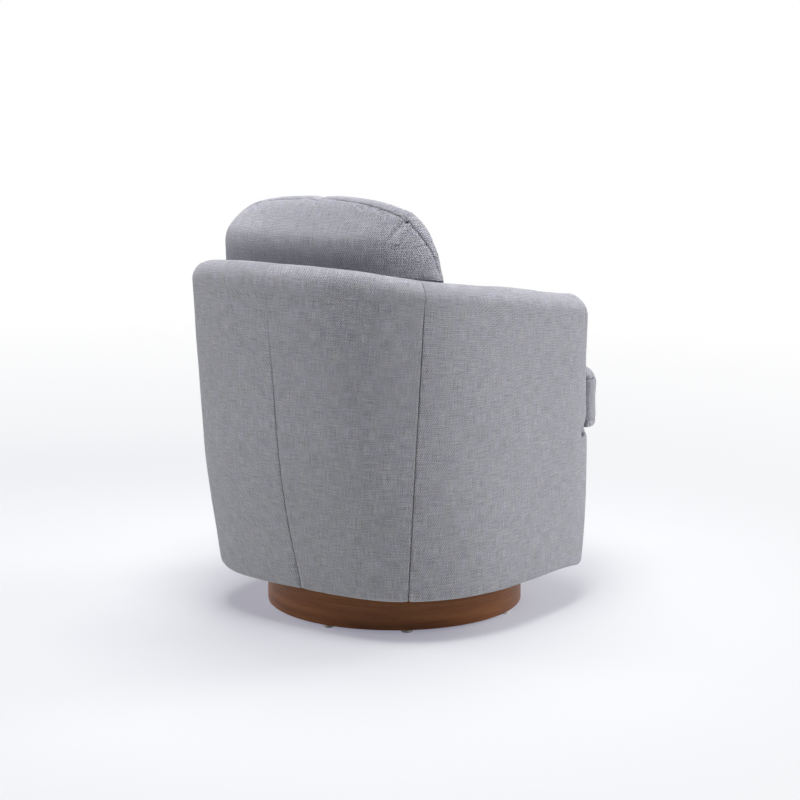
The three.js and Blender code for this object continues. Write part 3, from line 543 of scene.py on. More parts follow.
def lining(name, fromTurn, toTurn, length, seed, mirror=False, endPull=1):
    grid = wallColumns(liningRows, fromTurn, toTurn, spread(length, panel["step"], True, True), mirror)
    u, v = gridLengths(grid)
    start, end, top = distances(grid, 0), distances(grid, -1), distances(grid, 0, 1)
    middle = np.minimum(np.minimum(start, end), top)
    plump = inside["plump"] * smooth(middle / inside["plumpReach"])
    depth = (seamDepth(start, v, seed) + endPull * seamDepth(end, v, seed + 1)
             + seamDepth(top, u, seed + 2) - plump + unevenness(grid, inside["uneven"]))
    return clothPanel(name, [(pressedIn(grid, depth), (u, v), middle)], mirror)


sides = ("right", "left")
covers = [(backCover(side), ["cover_back_" + side], 0.9) for side in sides]
covers += [(sideCover(side), ["cover_side_" + side, "arm_front_" + side], 0.9) for side in sides]
covers.append((frontApron(), ["front_apron"], 0.9))
covers.append((lining("back_lining", plus(lambda z: -seamTurn(z), halfGap), plus(seamTurn, -halfGap),
                      panel["insideBack"], 1), ["inner_back_pad"], 0.7))
for side, seed in zip(sides, (3, 5)):
    armLining = lining("arm_lining_" + side, plus(seamTurn, halfGap), fixed(noseTurn - halfGap),
                       panel["insideArm"], seed, side == "left", inside["armEndPull"])
    covers.append((armLining, ["inner_arm_pad_" + side], 0.7))
print("covers and linings made")


# Cushions: a closed form, blown up a little as cloth, then sewn
softCloth = {"quality": 6, "use_pressure": True, "tension_stiffness": 18, "compression_stiffness": 12,
             "bending_stiffness": 0.6}


def plumped(piece, form):
    remesh = piece.modifiers.new("even", "REMESH")
    remesh.mode = "VOXEL"
    remesh.voxel_size = form["voxel"] * mm
    bakeModifiers(piece)
    start = vertexPoints(piece)
    cloth = piece.modifiers.new("cloth", "CLOTH")
    for key, value in softCloth.items():
        setattr(cloth.settings, key, value)
    cloth.settings.uniform_pressure_force = form["pressure"]
    cloth.settings.effector_weights.gravity = 0
    for step in range(1, form["frames"] + 1):
        scene.frame_set(step)
    bakeModifiers(piece)
    scene.frame_set(1)
    moved = vertexPoints(piece) - start
    length = np.maximum(np.linalg.norm(moved, axis=1, keepdims=True), 1e-9)
    setVertexPoints(piece, start + moved * np.minimum(1, form["cap"] / length))
    calmer = piece.modifiers.new("calmer", "SMOOTH")
    calmer.factor, calmer.iterations = 0.5, form["calm"]
    bakeModifiers(piece)
    finer = piece.modifiers.new("finer", "SUBSURF")
    finer.levels = finer.render_levels = 1
    bakeModifiers(piece)
    return piece


def bakeModifiers(piece):
    evaluated = piece.evaluated_get(bpy.context.evaluated_depsgraph_get())
    mesh = bpy.data.meshes.new_from_object(evaluated)
    old = piece.data
    piece.modifiers.clear()
    piece.data = mesh
    bpy.data.meshes.remove(old)
    mesh.name = piece.name


def vertexPoints(piece):
    return meshValues(piece.data.vertices, "co", 3) / mm


def vertexNormals(piece):
    return meshValues(piece.data.vertices, "normal", 3)


def setVertexPoints(piece, points):
    piece.data.vertices.foreach_set("co", (points * mm).astype(np.float32).ravel())
    piece.data.update()


def domed(first, rings, last):
    count = len(rings[0])
    points = np.concatenate([[first], np.concatenate(rings), [last]])
    faces = []
    for i in range(count):
        j = (i + 1) % count
        faces.append([0, 1 + j, 1 + i])
        for ring in range(len(rings) - 1):
            p, q = 1 + ring * count, 1 + (ring + 1) * count
            faces.append([p + i, p + j, q + j, q + i])
        top = 1 + (len(rings) - 1) * count
        faces.append([top + i, top + j, len(points) - 1])
    return points, faces


def turnedOut(piece):
    reshaped(piece.data, lambda shape: bmesh.ops.recalc_face_normals(shape, faces=shape.faces))
    return piece


# Seat cushion: T-shaped, boxed, with a seam round its top and its bottom
seat = {
    "thickness": 126, "crown": 12, "front": 405, "halfWidth": 318, "edge": 24, "sideDraw": 5,
    "clearance": 5, "wingGap": 4, "frontPower": 3.3, "voxel": 7, "shrink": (-2),
    "sink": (-5), "pressure": 4, "frames": 9, "cap": 9, "calm": 2, "roomAbove": 120,
    "topDrop": 2, "topSeam": 15, "bottomSeam": 13, "cornerCut": 13, "cornerReach": 50,
    "seamWander": 0.8, "seamPull": 0.85, "sideFrom": 6, "sideFade": 14, "boxingReach": 24,
}
armBox = [np.array(corner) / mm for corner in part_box("arm_front_right")]
noseTip, noseInner = -armBox[0][1], -armBox[1][0]
seatBottom = barrel["deckTop"] + 0.3
seatEdgeTop = seatBottom + seat["thickness"] - seat["crown"]


def seatOutline():
    half = []
    for turn in np.linspace(0, noseTurn, 60):
        inset = float(wallAt(turn)) + seat["clearance"]
        ends = [wallPoint(turn, z, inset)[:2] for z in (seatBottom, seatEdgeTop + seat["roomAbove"])]
        half.append(min(ends, key=lambda p: math.hypot(p[0], p[1] + barrel["ahead"])))
    half[-1][0] = seat["clearance"] - noseInner
    armEnd, wingBack = half[-1], -(noseTip + seat["wingGap"])
    for share in (0.35, 0.7, 1):
        half.append(np.array([armEnd[0], lerp(armEnd[1], wingBack, share)]))
    reach, power = seat["front"] - barrel["ahead"], seat["frontPower"]
    backShare = (-wingBack - barrel["ahead"]) / reach
    outerX = -seat["halfWidth"] * (1 - backShare ** power) ** (1 / power)
    innerCorner = outerX + seat["cornerCut"]
    for share in (0.25, 0.5, 0.75):
        half.append(np.array([lerp(armEnd[0], innerCorner, share), wingBack]))
    for turn in np.linspace(math.atan2(-outerX, -(backShare * reach)), math.pi, 56):
        along, across = abs(math.cos(turn)) / reach, abs(math.sin(turn)) / seat["halfWidth"]
        r = (along ** power + across ** power) ** (-1 / power)
        point = np.array([-r * math.sin(turn), r * math.cos(turn) - barrel["ahead"]])
        near = max(0, 1 - (wingBack - point[1]) / seat["cornerReach"])
        half.append(point + [seat["cornerCut"] * near ** 2, 0])
    half[0][0] = half[-1][0] = 0
    return np.array(half + [p * [-1, 1] for p in half[-2:0:-1]])


def drawnIn(outline, hub, inset):  # every point moved towards the hub
    out = outline - hub
    length = np.linalg.norm(out, axis=1, keepdims=True)
    return hub + out * np.maximum(0, length - inset) / length


def seatCushion():
    outline = seatOutline()
    seatBack = outline[0][1]
    middle = (seatBack - seat["front"]) / 2
    hub = np.array([0, -(noseTip + 2 * seat["clearance"] + seat["edge"])])

    def top(q):
        across, along = q[:, 0] / seat["halfWidth"], (q[:, 1] - middle) / (seatBack - middle)
        return seatEdgeTop + seat["crown"] * np.maximum(0, 1 - across ** 2) * np.maximum(0, 1 - along ** 4)

    def level(q, rise=None, drop=None):  # so far over the bottom, or so far under the top
        return np.column_stack([q, top(q) - drop if rise is None else np.full(len(q), seatBottom + rise)])

    def ring(inset, **height):
        return level(drawnIn(outline, hub, inset + seat["shrink"]), **height)

    def shrunk(share, **height):
        return level(hub + (outline - hub) * share, **height)

    e, low, high = seat["edge"], seat["sink"], seat["topDrop"]
    middleHeight = (seatEdgeTop - seatBottom) / 2
    rings = [shrunk(0.4, rise=low), shrunk(0.7, rise=low), ring(e / 2, rise=low), ring(e / 6, rise=low + e / 12),
             ring(0, rise=low + e / 3), ring(seat["sideDraw"] / 2, rise=middleHeight),
             ring(0, drop=e + high), ring(e / 6, drop=e / 2 + high), ring(e / 2, drop=e / 6 + high),
             ring(1.4 * e, drop=high), shrunk(2 / 3, drop=high), shrunk(1 / 3, drop=high)]
    hubTop = top(hub[None])[0] - high
    points, faces = domed([*hub, seatBottom + low], rings, [*hub, hubTop])
    piece = turnedOut(makeMesh("seat_cushion_cover", points, faces))
    plumped(piece, seat)
    points = vertexPoints(piece)
    points[:, 2] = np.maximum(points[:, 2], seatBottom)
    setVertexPoints(piece, points)
    sewSeat(piece, outline)
    return piece


def nearestOnOutline(points, outline):  # distance along the outline, and how far each point is from it
    closed = np.concatenate([outline, outline[:1]])
    lengths = runLengths(closed)
    best, along = np.full(len(points), np.inf), np.zeros(len(points))
    for i in range(len(outline)):
        a, b = closed[i], closed[i + 1]
        t = np.clip((points - a) @ (b - a) / max((b - a) @ (b - a), 1e-9), 0, 1)
        away = np.linalg.norm(points - (a + t[:, None] * (b - a)), axis=1)
        closer = away < best
        best[closer] = away[closer]
        along[closer] = (lengths[i] + t * (lengths[i + 1] - lengths[i]))[closer]
    return along, best


def sewSeat(piece, outline):
    points, normals = vertexPoints(piece), vertexNormals(piece)
    along, away = nearestOnOutline(points[:, :2], outline)
    edge = smooth(1 - (away - seat["sideFrom"]) / seat["sideFade"])
    topLine, bottomLine = seatEdgeTop - seat["topSeam"], seatBottom + seat["bottomSeam"]
    depth, nearest = np.zeros(len(points)), np.full(len(points), 99.0)
    for line, seed in ((topLine, 1), (bottomLine, 3)):
        signed = points[:, 2] - line - seat["seamWander"] * ripple(along, seed + 5)
        depth += seamDepth(np.abs(signed), along, seed, seat["seamPull"]) * edge
        signed = np.where(edge > 0.3, signed, 99)
        nearest = np.where(np.abs(signed) < np.abs(nearest), signed, nearest)
    setVertexPoints(piece, points - normals * depth[:, None])
    setSeam(piece.data, nearest)
    mesh = piece.data
    corners = cornerVertices(mesh)
    faces = np.repeat(np.arange(len(mesh.polygons)), meshValues(mesh.polygons, "loop_total", kind=int))
    centres = meshValues(mesh.polygons, "center", 3) / mm
    faceAlong, faceAway = nearestOnOutline(centres[:, :2], outline)
    boxing = (centres[:, 2] < topLine) & (centres[:, 2] > bottomLine) & (faceAway < seat["boxingReach"])
    flat = points[corners][:, :2]
    band = np.column_stack([along[corners], points[corners][:, 2]])
    total = along.max()  # a face over the outline's start keeps its corners together
    wrap = faceAlong[faces] - band[:, 0]
    band[:, 0] += np.round(wrap / total) * total
    setClothMap(mesh, np.where(boxing[faces][:, None], band, flat))


# Back pillow: knife-edged, bowed to the barrel and squeezed between the arms below the rim
pillow = {
    "height": 368, "halfWidth": 254, "thickness": 164, "offset": 3, "bow": 46, "lean": 0.1, "power": 3.1,
    "core": 0.42, "squeeze": 3, "rimClear": 3, "voxel": 5, "pressure": 4, "frames": 14, "cap": 22, "calm": 10,
    "grow": 12, "thin": 14,
    "cutAngles": [-165, -150, -30, -15, 0, 20, 27, 45, 60, 75, 95, 108, 125, 140, 146, 155, 165, 180],
    "cutShares": [0.985, 1, 1, 0.97, 0.952, 0.945, 0.956, 0.974, 0.985, 0.997, 1.01, 1.032, 1.042, 1.04, 1.017,
                  0.984, 0.973, 0.973],  # how the edge departs from the plain form
    "bulge": 17, "bulgeHeight": 753, "bulgeAbove": 31, "bulgeBelow": 55,
    "seamTop": 23, "seamSide": -4, "seamRise": 0.45, "seamFrom": 0.72, "seamFade": 0.1, "seamWander": 0.6,
    "seamPull": 1.2, "seamLength": 240, "foldFrom": 8, "foldFade": 6, "roll": 0.57,
}
# Folds at the seam: the x and z of both ends on the back face, then width and depth
pillowFolds = [
    ((-199, 803), (-210, 788), 2.6, 7.0), ((-210, 788), (-222, 793), 2.6, 5.0), ((-213, 785), (-207, 752), 4.0, -3.4),
    ((-205, 786), (-198, 758), 4.0, 3.0), ((-30, 819), (-46, 812), 2.6, 1.8), ((-122, 815), (-134, 808), 2.6, 1.8),
    ((128, 806), (112, 800), 2.8, 1.6), ((-160, 808), (-178, 797), 2.8, 2.0), ((-240, 748), (-226, 740), 3.0, 1.8),
]
pillowBox = [np.array(corner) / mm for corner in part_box("back_pillow")]
pillowMiddle = pillowBox[0][2] + pillow["height"] / 2
liningY = float(wallPoint(0.0, pillowMiddle, barrel["wall"] + pillow["squeeze"])[1])


def wallDepthAt(turn, z):  # how far in the wall reaches at this height
    top, wall = crestAt(turn) + pillow["rimClear"], wallAt(turn)
    drop = barrel["rimInnerDrop"] + pillow["rimClear"]
    rise = np.clip((z - top + drop) / drop, 0, 1)
    width = barrel["rimOuterWidth"] * wall / barrel["wall"]
    return np.where(z > top, -barrel["wall"], width + (wall - width) * np.sqrt(1 - rise ** 2))


def keptInside(points):
    x, y, z = points[:, 0], points[:, 1] + barrel["ahead"], points[:, 2]
    angle = np.abs(np.arctan2(-x, y))
    low, high = np.zeros(len(x)), np.full(len(x), math.pi)
    for _ in range(36):
        turn = (low + high) / 2
        wall = wallPoint(turn, z, wallDepthAt(turn, z) + pillow["squeeze"])
        before = np.arctan2(-wall[:, 0], wall[:, 1] + barrel["ahead"]) < angle
        low, high = np.where(before, turn, low), np.where(before, high, turn)
    room = np.hypot(wall[:, 0], wall[:, 1] + barrel["ahead"])
    share = np.minimum(1, room / np.hypot(x, y))
    return np.column_stack([x * share, y * share - barrel["ahead"], z])


def pillowSeamY(x, z):  # the surface in which the seam lies
    middleY = liningY - pillow["thickness"] / 2
    return middleY - pillow["bow"] * ((x + pillow["offset"]) / pillow["halfWidth"]) ** 2 \
        + (z - pillowMiddle) * pillow["lean"]


def patternReach(angle):  # from the pillow's centre to its edge, as it was cut
    high, wide, power = pillow["height"] / 2, pillow["halfWidth"], pillow["power"]
    c, s = np.cos(angle) / wide, np.sin(angle) / high
    reach = (np.abs(c) ** power + np.abs(s) ** power) ** (-1 / power)
    return reach * np.interp(np.degrees(angle), pillow["cutAngles"], pillow["cutShares"], period=360)


def cutToPattern(points, bins=90):  # brings the blown-up outline back to the pattern's
    dx, dz = points[:, 0] + pillow["offset"], points[:, 2] - pillowMiddle
    angle, r = np.arctan2(dz, dx), np.hypot(dx, dz)
    place = np.floor((angle + math.pi) / (2 * math.pi) * bins).astype(int) % bins
    reach = np.zeros(bins)
    np.maximum.at(reach, place, r)
    for _ in range(2):
        reach = (np.roll(reach, 1) + 2 * reach + np.roll(reach, -1)) / 4
    middles = (np.arange(bins) + 0.5) / bins * 2 * math.pi - math.pi
    now = np.interp(angle, middles, reach, period=2 * math.pi)
    scale = 1 + (patternReach(angle) / now - 1) * np.clip(r / now, 0, 1) ** 2
    return np.column_stack([dx * scale - pillow["offset"], points[:, 1], dz * scale + pillowMiddle])


def backPillow():
    angles = np.linspace(0, 2 * math.pi, 120, endpoint=False)
    grow, thin = ((pillow["grow"], pillow["thin"]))
    reach = patternReach(angles) + grow
    core = pillow["core"]

    def ring(share, side):
        x, z = reach * np.cos(angles) * share, pillowMiddle + reach * np.sin(angles) * share
        edge = max(0, (share - core) / (1 - core))
        half = (pillow["thickness"] / 2 - thin) * math.sqrt(1 - edge ** 2)
        y = pillowSeamY(x - pillow["offset"], z) + side * half
        return keptInside(np.column_stack([x - pillow["offset"], y, z]))

    shares = [0.15, 0.3, 0.45, 0.58, 0.7, 0.8, 0.88, 0.94, 0.975, 0.993]
    rings = [ring(share, -1) for share in shares] + [ring(1, 0)] + [ring(share, 1) for share in shares[::-1]]
    points, faces = domed(ring(0, -1)[0], rings, ring(0, 1)[0])
    piece = turnedOut(makeMesh("back_pillow_cover", points, faces))
    plumped(piece, pillow)
    points = cutToPattern(vertexPoints(piece))
    x, y, z = points.T
    back = smooth((y - pillowSeamY(x, z) - 6) / 40) * np.maximum(0, 1 - (x / pillow["halfWidth"]) ** 8)
    up = z - pillow["bulgeHeight"]
    reach = np.where(up > 0, pillow["bulgeAbove"], pillow["bulgeBelow"])
    points[:, 1] += pillow["bulge"] * back * np.exp(-(up / reach) ** 2)
    setVertexPoints(piece, keptInside(points))
    sewPillow(piece)
    return piece


def sewPillow(piece):
    points, normals = vertexPoints(piece), vertexNormals(piece)
    x, y, z = points.T
    seamY = pillowSeamY(x, z)
    out = np.abs(y - seamY)
    high = smooth((z - pillowMiddle) / (pillow["seamRise"] * pillow["height"])) ** 2
    seamY = seamY + lerp(pillow["seamSide"], pillow["seamTop"], high)
    angle = np.arctan2(z - pillowMiddle, x + pillow["offset"])
    along = angle * pillow["seamLength"]
    across, up = (x + pillow["offset"]) / pillow["halfWidth"], (z - pillowMiddle) / (pillow["height"] / 2)
    edge = smooth((np.maximum(np.abs(across), np.abs(up)) - pillow["seamFrom"]) / pillow["seamFade"])
    signed = y - seamY - pillow["seamWander"] * ripple(along, 9)
    depth = seamDepth(np.abs(signed), along, 7, pillow["seamPull"]) * edge
    signed = np.where(edge > 0.3, signed, 99)
    behind = smooth((y - seamY + pillow["foldFrom"]) / pillow["foldFade"])
    flat = points[:, [0, 2]]
    for start, end, width, fold in pillowFolds:
        a, b = np.array(start), np.array(end)
        t = np.clip((flat - a) @ (b - a) / ((b - a) @ (b - a)), 0, 1)
        away = np.linalg.norm(flat - (a + t[:, None] * (b - a)), axis=1)
        depth += fold * (1.5 * np.exp(-(away / width) ** 2) - 0.5 * np.exp(-(away / (2.4 * width)) ** 2)) \
            * (1 - 0.5 * t) * behind
        # the deepest folds are marked like seams, so the cloth's shader paints a line of shade along their creases
        if fold > 4:
            crease = np.where(behind > 0.5, 0.2 + 0.7 * away, 99)
            signed = np.where(crease < np.abs(signed), crease, signed)
    setSeam(piece.data, signed)
    setVertexPoints(piece, points - normals * depth[:, None])
    share = up ** 4 / (up ** 4 + across ** 4 + 0.01)
    over = pillow["roll"] * (pillow["thickness"] / 2 - out)  # the cloth goes on over the rounded edge
    cloth = np.column_stack([x + over * np.sign(across) * np.abs(across) ** 2 * (1 - share),
                             z + over * np.sign(up) * np.abs(up) ** 2 * share])
    setClothMap(piece.data, cloth[cornerVertices(piece.data)])


seatPiece, pillowPiece = seatCushion(), backPillow()
print("cushions made")


# Deck: the panel that the cushion rests on
deck = {"bottom": 309, "steps": 90, "edge": 5, "middle": -60, "under": 0.6, "sag": 1.6, "sink": 1.0}


def deckPanel():
    half = []
    for turn in np.linspace(0, math.pi, deck["steps"]):
        inset = float(wallAt(turn)) + 1 if turn < noseTurn else barrel["apronFlap"] + 1
        half.append(wallPoint(turn, barrel["deckTop"] - 2, inset)[:2])
    half = np.array(half)
    half[0][0] = half[-1][0] = 0
    outline = np.concatenate([half, (half[1:-1] * [-1, 1])[::-1]])
    hub = np.array([0, deck["middle"]])
    e, bottom, top = deck["edge"], deck["bottom"], barrel["deckTop"] - deck["under"]
    rings = [np.column_stack([drawnIn(outline, hub, inset), np.full(len(outline), z)]) for inset, z in
             ((e, bottom), (0, bottom + e), (0, top - e), (e * 0.3, top - e * 0.3), (e, top))]
    for share in np.linspace(0.9, 0.1, 16):
        q = hub + (outline - hub) * share
        sag = deck["sag"] * np.sin(q[:, 0] / 29) * np.sin(q[:, 1] / 37) - deck["sink"]
        rings.append(np.column_stack([q, top + np.minimum(0, sag)]))
    points, faces = domed([*hub, bottom], rings, [*hub, top - deck["sink"]])
    return turnedOut(makeMesh("deck_panel", points, faces, points[:, :2]))


deckPiece = deckPanel()


# Dust cover: thin black cloth under the barrel, stapled round its edge
dust = {"inset": 24, "hole": 165, "thickness": 1.0, "top": 87.6, "ruffle": 0.5, "ruffles": 40,
        "ruffleFade": 9, "sag": 1.2}


def dustOutline(count=160):
    turns = np.linspace(0, 2 * math.pi, count, endpoint=False)
    return wallPoint(turns, barrel["bottom"], dust["inset"])[:, :2], turns


def dustCover():
    outer, turns = dustOutline()
    angles = np.arctan2(-outer[:, 0], outer[:, 1])
    inner = np.column_stack([-dust["hole"] * np.sin(angles), dust["hole"] * np.cos(angles)])
    rings = []
    for share in np.linspace(0, 1, 12):
        q = lerp(outer, inner, share)
        wave = dust["ruffle"] * np.sin(turns * dust["ruffles"]) * math.exp(-share * dust["ruffleFade"]) \
            + dust["sag"] * math.sin(math.pi * share)
        rings.append(np.column_stack([q, dust["top"] - dust["thickness"] - np.maximum(0, wave)]))
    grid = np.array(rings).transpose(1, 0, 2)
    grid = np.concatenate([grid, grid[:1]])
    piece = fromGrids("dust_cloth", [(grid, gridLengths(grid), np.full(grid.shape[:2], noSeam))])
    return thickened(piece, -dust["thickness"])


# Node trees, for Geometry Nodes and for materials
def newTree(name, kind, inputs, outputs):
    tree = bpy.data.node_groups.new(name, kind)
    for label, socketKind, value in inputs:
        socket = tree.interface.new_socket(label, in_out="INPUT", socket_type="NodeSocket" + socketKind)
        if value is not None:
            socket.default_value = value
    for label, socketKind in outputs:
        tree.interface.new_socket(label, in_out="OUTPUT", socket_type="NodeSocket" + socketKind)
    given = dict(tree.nodes.new("NodeGroupInput").outputs.items())
    return tree, given, tree.nodes.new("NodeGroupOutput")


def setInputs(tree, node, values):  # each a plain value, or another node's output
    for key, value in values.items():
        if isinstance(value, bpy.types.NodeSocket):
            tree.links.new(value, node.inputs[key])
        else:
            node.inputs[key].default_value = value
    return node


def treeNode(tree, kind, values=None, **settings):
    node = tree.nodes.new(kind)
    for key, value in settings.items():
        setattr(node, key, value)
    return setInputs(tree, node, values or {})


def calc(tree, operation, *values):
    return treeNode(tree, "ShaderNodeMath", dict(enumerate(values)), operation=operation).outputs[0]


def vectorNode(tree, operation, *values):
    return treeNode(tree, "ShaderNodeVectorMath", dict(enumerate(values)), operation=operation)


def mixColour(tree, factor, a, b, blend="MIX"):
    return treeNode(tree, "ShaderNodeMix", {0: factor, 6: a, 7: b}, data_type="RGBA", blend_type=blend).outputs[2]


def mapRange(tree, value, fromMin, fromMax, toMin=0.0, toMax=1.0, curve="LINEAR"):
    return treeNode(tree, "ShaderNodeMapRange", {
        "Value": value, "From Min": fromMin, "From Max": fromMax, "To Min": toMin, "To Max": toMax},
        interpolation_type=curve).outputs[0]


def grown(name, tree, values, start=None):  # runs a tree on a mesh and keeps the result as a plain mesh
    base = start or makeMesh(name, np.zeros((0, 3)), [])
    base.name = name
    modifier = base.modifiers.new("shape", "NODES")
    modifier.node_group = tree
    for item in tree.interface.items_tree:
        if item.item_type == "SOCKET" and item.in_out == "INPUT" and item.name in values:
            modifier[item.identifier] = values[item.name]
    bakeModifiers(base)
    return base


# Materials
surface = [("Color", "Color"), ("Height", "Float"), ("Roughness", "Float")]  # what each shared finish puts out


def newMaterial(name, **settings):
    material = bpy.data.materials.new(name)
    material.use_nodes = True
    tree = material.node_tree
    return material, tree, setInputs(tree, tree.nodes["Principled BSDF"], settings)


def surfaced(tree, shader, colour, roughness, height, depth, strength):
    relief = treeNode(tree, "ShaderNodeBump", {"Height": height, "Distance": depth, "Strength": strength})
    setInputs(tree, shader, {"Base Color": colour, "Roughness": roughness, "Normal": relief.outputs[0]})


def spots(tree, vector, scale, detail=2.0, stretch=(1, 1, 1), roughness=0.5):
    mapping = treeNode(tree, "ShaderNodeMapping", {"Vector": vector, "Scale": stretch})
    return treeNode(tree, "ShaderNodeTexNoise", {
        "Vector": mapping.outputs[0], "Scale": scale, "Detail": detail, "Roughness": roughness}).outputs[0]


# Twill: its parts' sizes, then how much each gives to the tone and to the relief
twill = {
    "slant": 0.6, "wander": 0.0022, "wanderSpots": 70, "pick": 0.9, "cross": 0.8,
    "slubs": ((640, 34, 1), (30, 580, 1)), "heather": 380, "patch": 42, "fuzz": 1400,
    "blueSpots": 55, "blueShare": 2.4, "blue": (0.96, 0.97, 1.05, 1),
    "ribTone": 0.21, "pickTone": 0.08, "crossTone": 0.12, "heatherTone": 0.7, "patchTone": 0.14,
    "ribHeight": 0.6, "pickHeight": 0.15, "crossHeight": 0.15, "fuzzHeight": 0.5, "slubHeight": 0.5,
    "roughness": 0.92, "ribGloss": 0.04,
}


def weaveGroup():  # a heathered twill on a cloth map in metres
    tree, given, out = newTree("weave", "ShaderNodeTree", [
        ("Vector", "Vector", None), ("Rib pitch", "Float", 0.004), ("Slubs", "Float", 0.5),
        ("Light yarn", "Color", (0.5, 0.5, 0.5, 1)), ("Dark yarn", "Color", (0.2, 0.2, 0.2, 1))], surface)
    uv, pitch = given["Vector"], given["Rib pitch"]
    parts = treeNode(tree, "ShaderNodeSeparateXYZ", {"Vector": uv})
    u, v = parts.outputs[0], parts.outputs[1]

    def wave(place, share):  # from -1 to 1, once for each share of the pitch
        turns = calc(tree, "DIVIDE", place, calc(tree, "MULTIPLY", pitch, share))
        return calc(tree, "SINE", calc(tree, "MULTIPLY", turns, 2 * math.pi))

    def total(start, *terms):  # start plus each value times its weight
        for value, weight in terms:
            start = calc(tree, "MULTIPLY_ADD", value, weight, start)
        return start

    def centred(*spotValues):
        return calc(tree, "SUBTRACT", spots(tree, uv, *spotValues), 0.5)

    def clamped(value):
        return treeNode(tree, "ShaderNodeClamp", {"Value": value}).outputs[0]

    wander = spots(tree, uv, twill["wanderSpots"], 1.0)
    rib = wave(total(u, (v, twill["slant"]), (wander, twill["wander"])), 1)
    pick = wave(v, twill["pick"])
    cross = calc(tree, "MULTIPLY", wave(u, twill["cross"]), wave(v, twill["cross"]))
    slubs = calc(tree, "ADD", *[centred(1, 3.0, stretch) for stretch in twill["slubs"]])
    heather, patch, fuzz = centred(twill["heather"]), centred(twill["patch"]), centred(twill["fuzz"], 1.0)
    tone = total(0.5, (rib, twill["ribTone"]), (pick, twill["pickTone"]), (cross, twill["crossTone"]),
                 (slubs, given["Slubs"]), (heather, twill["heatherTone"]), (patch, twill["patchTone"]))
    colour = mixColour(tree, clamped(tone), given["Dark yarn"], given["Light yarn"])
    blue = clamped(total(0.5, (centred(twill["blueSpots"], 2.0, (1, 0.7, 1)), twill["blueShare"])))
    colour = mixColour(tree, blue, colour, mixColour(tree, 1.0, colour, twill["blue"], "MULTIPLY"))
    height = total(0.0, (rib, twill["ribHeight"]), (pick, twill["pickHeight"]), (cross, twill["crossHeight"]),
                   (fuzz, twill["fuzzHeight"]), (slubs, twill["slubHeight"]))
    rough = calc(tree, "MULTIPLY_ADD", rib, -twill["ribGloss"], twill["roughness"])
    setInputs(tree, out, {"Color": colour, "Height": height, "Roughness": rough})
    return tree


weave = weaveGroup()


def clothMaterial(name, light, dark, pitch=0.0036, slubs=0.9, bump=0.9, sheen=0.3, paintSeamShade=False):
    material, tree, shader = newMaterial(name, **{"Sheen Weight": sheen, "Sheen Roughness": 0.5,
                                                  "Specular IOR Level": 0.25})
    vector = treeNode(tree, "ShaderNodeUVMap", uv_map="cloth").outputs[0]
    values = {"Vector": vector, "Rib pitch": pitch, "Slubs": slubs, "Light yarn": light, "Dark yarn": dark}
    group = treeNode(tree, "ShaderNodeGroup", values, node_tree=weave)
    colour = group.outputs["Color"]
    if paintSeamShade:  # painted shade: a dark line along seams and marked creases, standing in for the shade in their grooves
        seam = treeNode(tree, "ShaderNodeAttribute", attribute_name="seam").outputs["Fac"]
        line = mapRange(tree, calc(tree, "ABSOLUTE", seam), 0.3, 1.3, 0.4, 0.0, "SMOOTHSTEP")
        colour = mixColour(tree, line, colour, (0.03, 0.03, 0.034, 1))
    surfaced(tree, shader, colour, group.outputs["Roughness"], group.outputs["Height"], 0.001, bump)
    return material


linen = clothMaterial("linen_twill", (0.685, 0.68, 0.745, 1), (0.165, 0.163, 0.182, 1), bump=1.0, paintSeamShade=True)
deckCloth = clothMaterial("deck_cloth", (0.36, 0.35, 0.33, 1), (0.24, 0.235, 0.225, 1), 0.002, 0.3, 0.3, 0.1)
dustCloth = clothMaterial("dust_cloth", (0.02, 0.02, 0.022, 1), (0.008, 0.008, 0.009, 1), 0.002, 0.3, 0.3, 0.1)


# Wood: how its noise is stretched, the tones it ranges over, and what the pores add
wood = {
    "figure": (3, 60, 60), "fibre": (14, 420, 420), "pores": (60, 1500, 1500), "poreFrom": 0.56, "poreTo": 0.68,
    "figureTone": 0.75, "fibreTone": 0.45, "darkAt": 0.4, "lightAt": 0.8, "poreTone": 0.5,
    "fibreHeight": 0.3, "poreDepth": 0.5, "roughness": 0.36, "poreRoughness": 0.2,
}


def woodGroup():  # long grain with pores; the vector runs along the grain in X, in metres
    tree, given, out = newTree("woodGrain", "ShaderNodeTree", [
        ("Vector", "Vector", None), ("Light", "Color", (0.2, 0.1, 0.05, 1)), ("Dark", "Color", (0.05, 0.02, 0.01, 1)),
        ("Scale", "Float", 1.0)], surface)
    scaled = vectorNode(tree, "SCALE", given["Vector"])
    vector = setInputs(tree, scaled, {"Scale": given["Scale"]}).outputs[0]

    def share(value, weight):
        return calc(tree, "MULTIPLY", value, wood[weight])

    figure = spots(tree, vector, 1, 4.0, wood["figure"], 0.6)
    fibre = spots(tree, vector, 1, 3.0, wood["fibre"], 0.6)
    pore = mapRange(tree, spots(tree, vector, 1, 2.0, wood["pores"]), wood["poreFrom"], wood["poreTo"])
    tone = calc(tree, "ADD", share(figure, "figureTone"), share(fibre, "fibreTone"))
    colour = mixColour(tree, mapRange(tree, tone, wood["darkAt"], wood["lightAt"]), given["Dark"], given["Light"])
    colour = mixColour(tree, share(pore, "poreTone"), colour, given["Dark"])
    height = calc(tree, "SUBTRACT", share(fibre, "fibreHeight"), share(pore, "poreDepth"))
    rough = calc(tree, "MULTIPLY_ADD", pore, wood["poreRoughness"], wood["roughness"])
    setInputs(tree, out, {"Color": colour, "Height": height, "Roughness": rough})
    return tree


woodGrain = woodGroup()


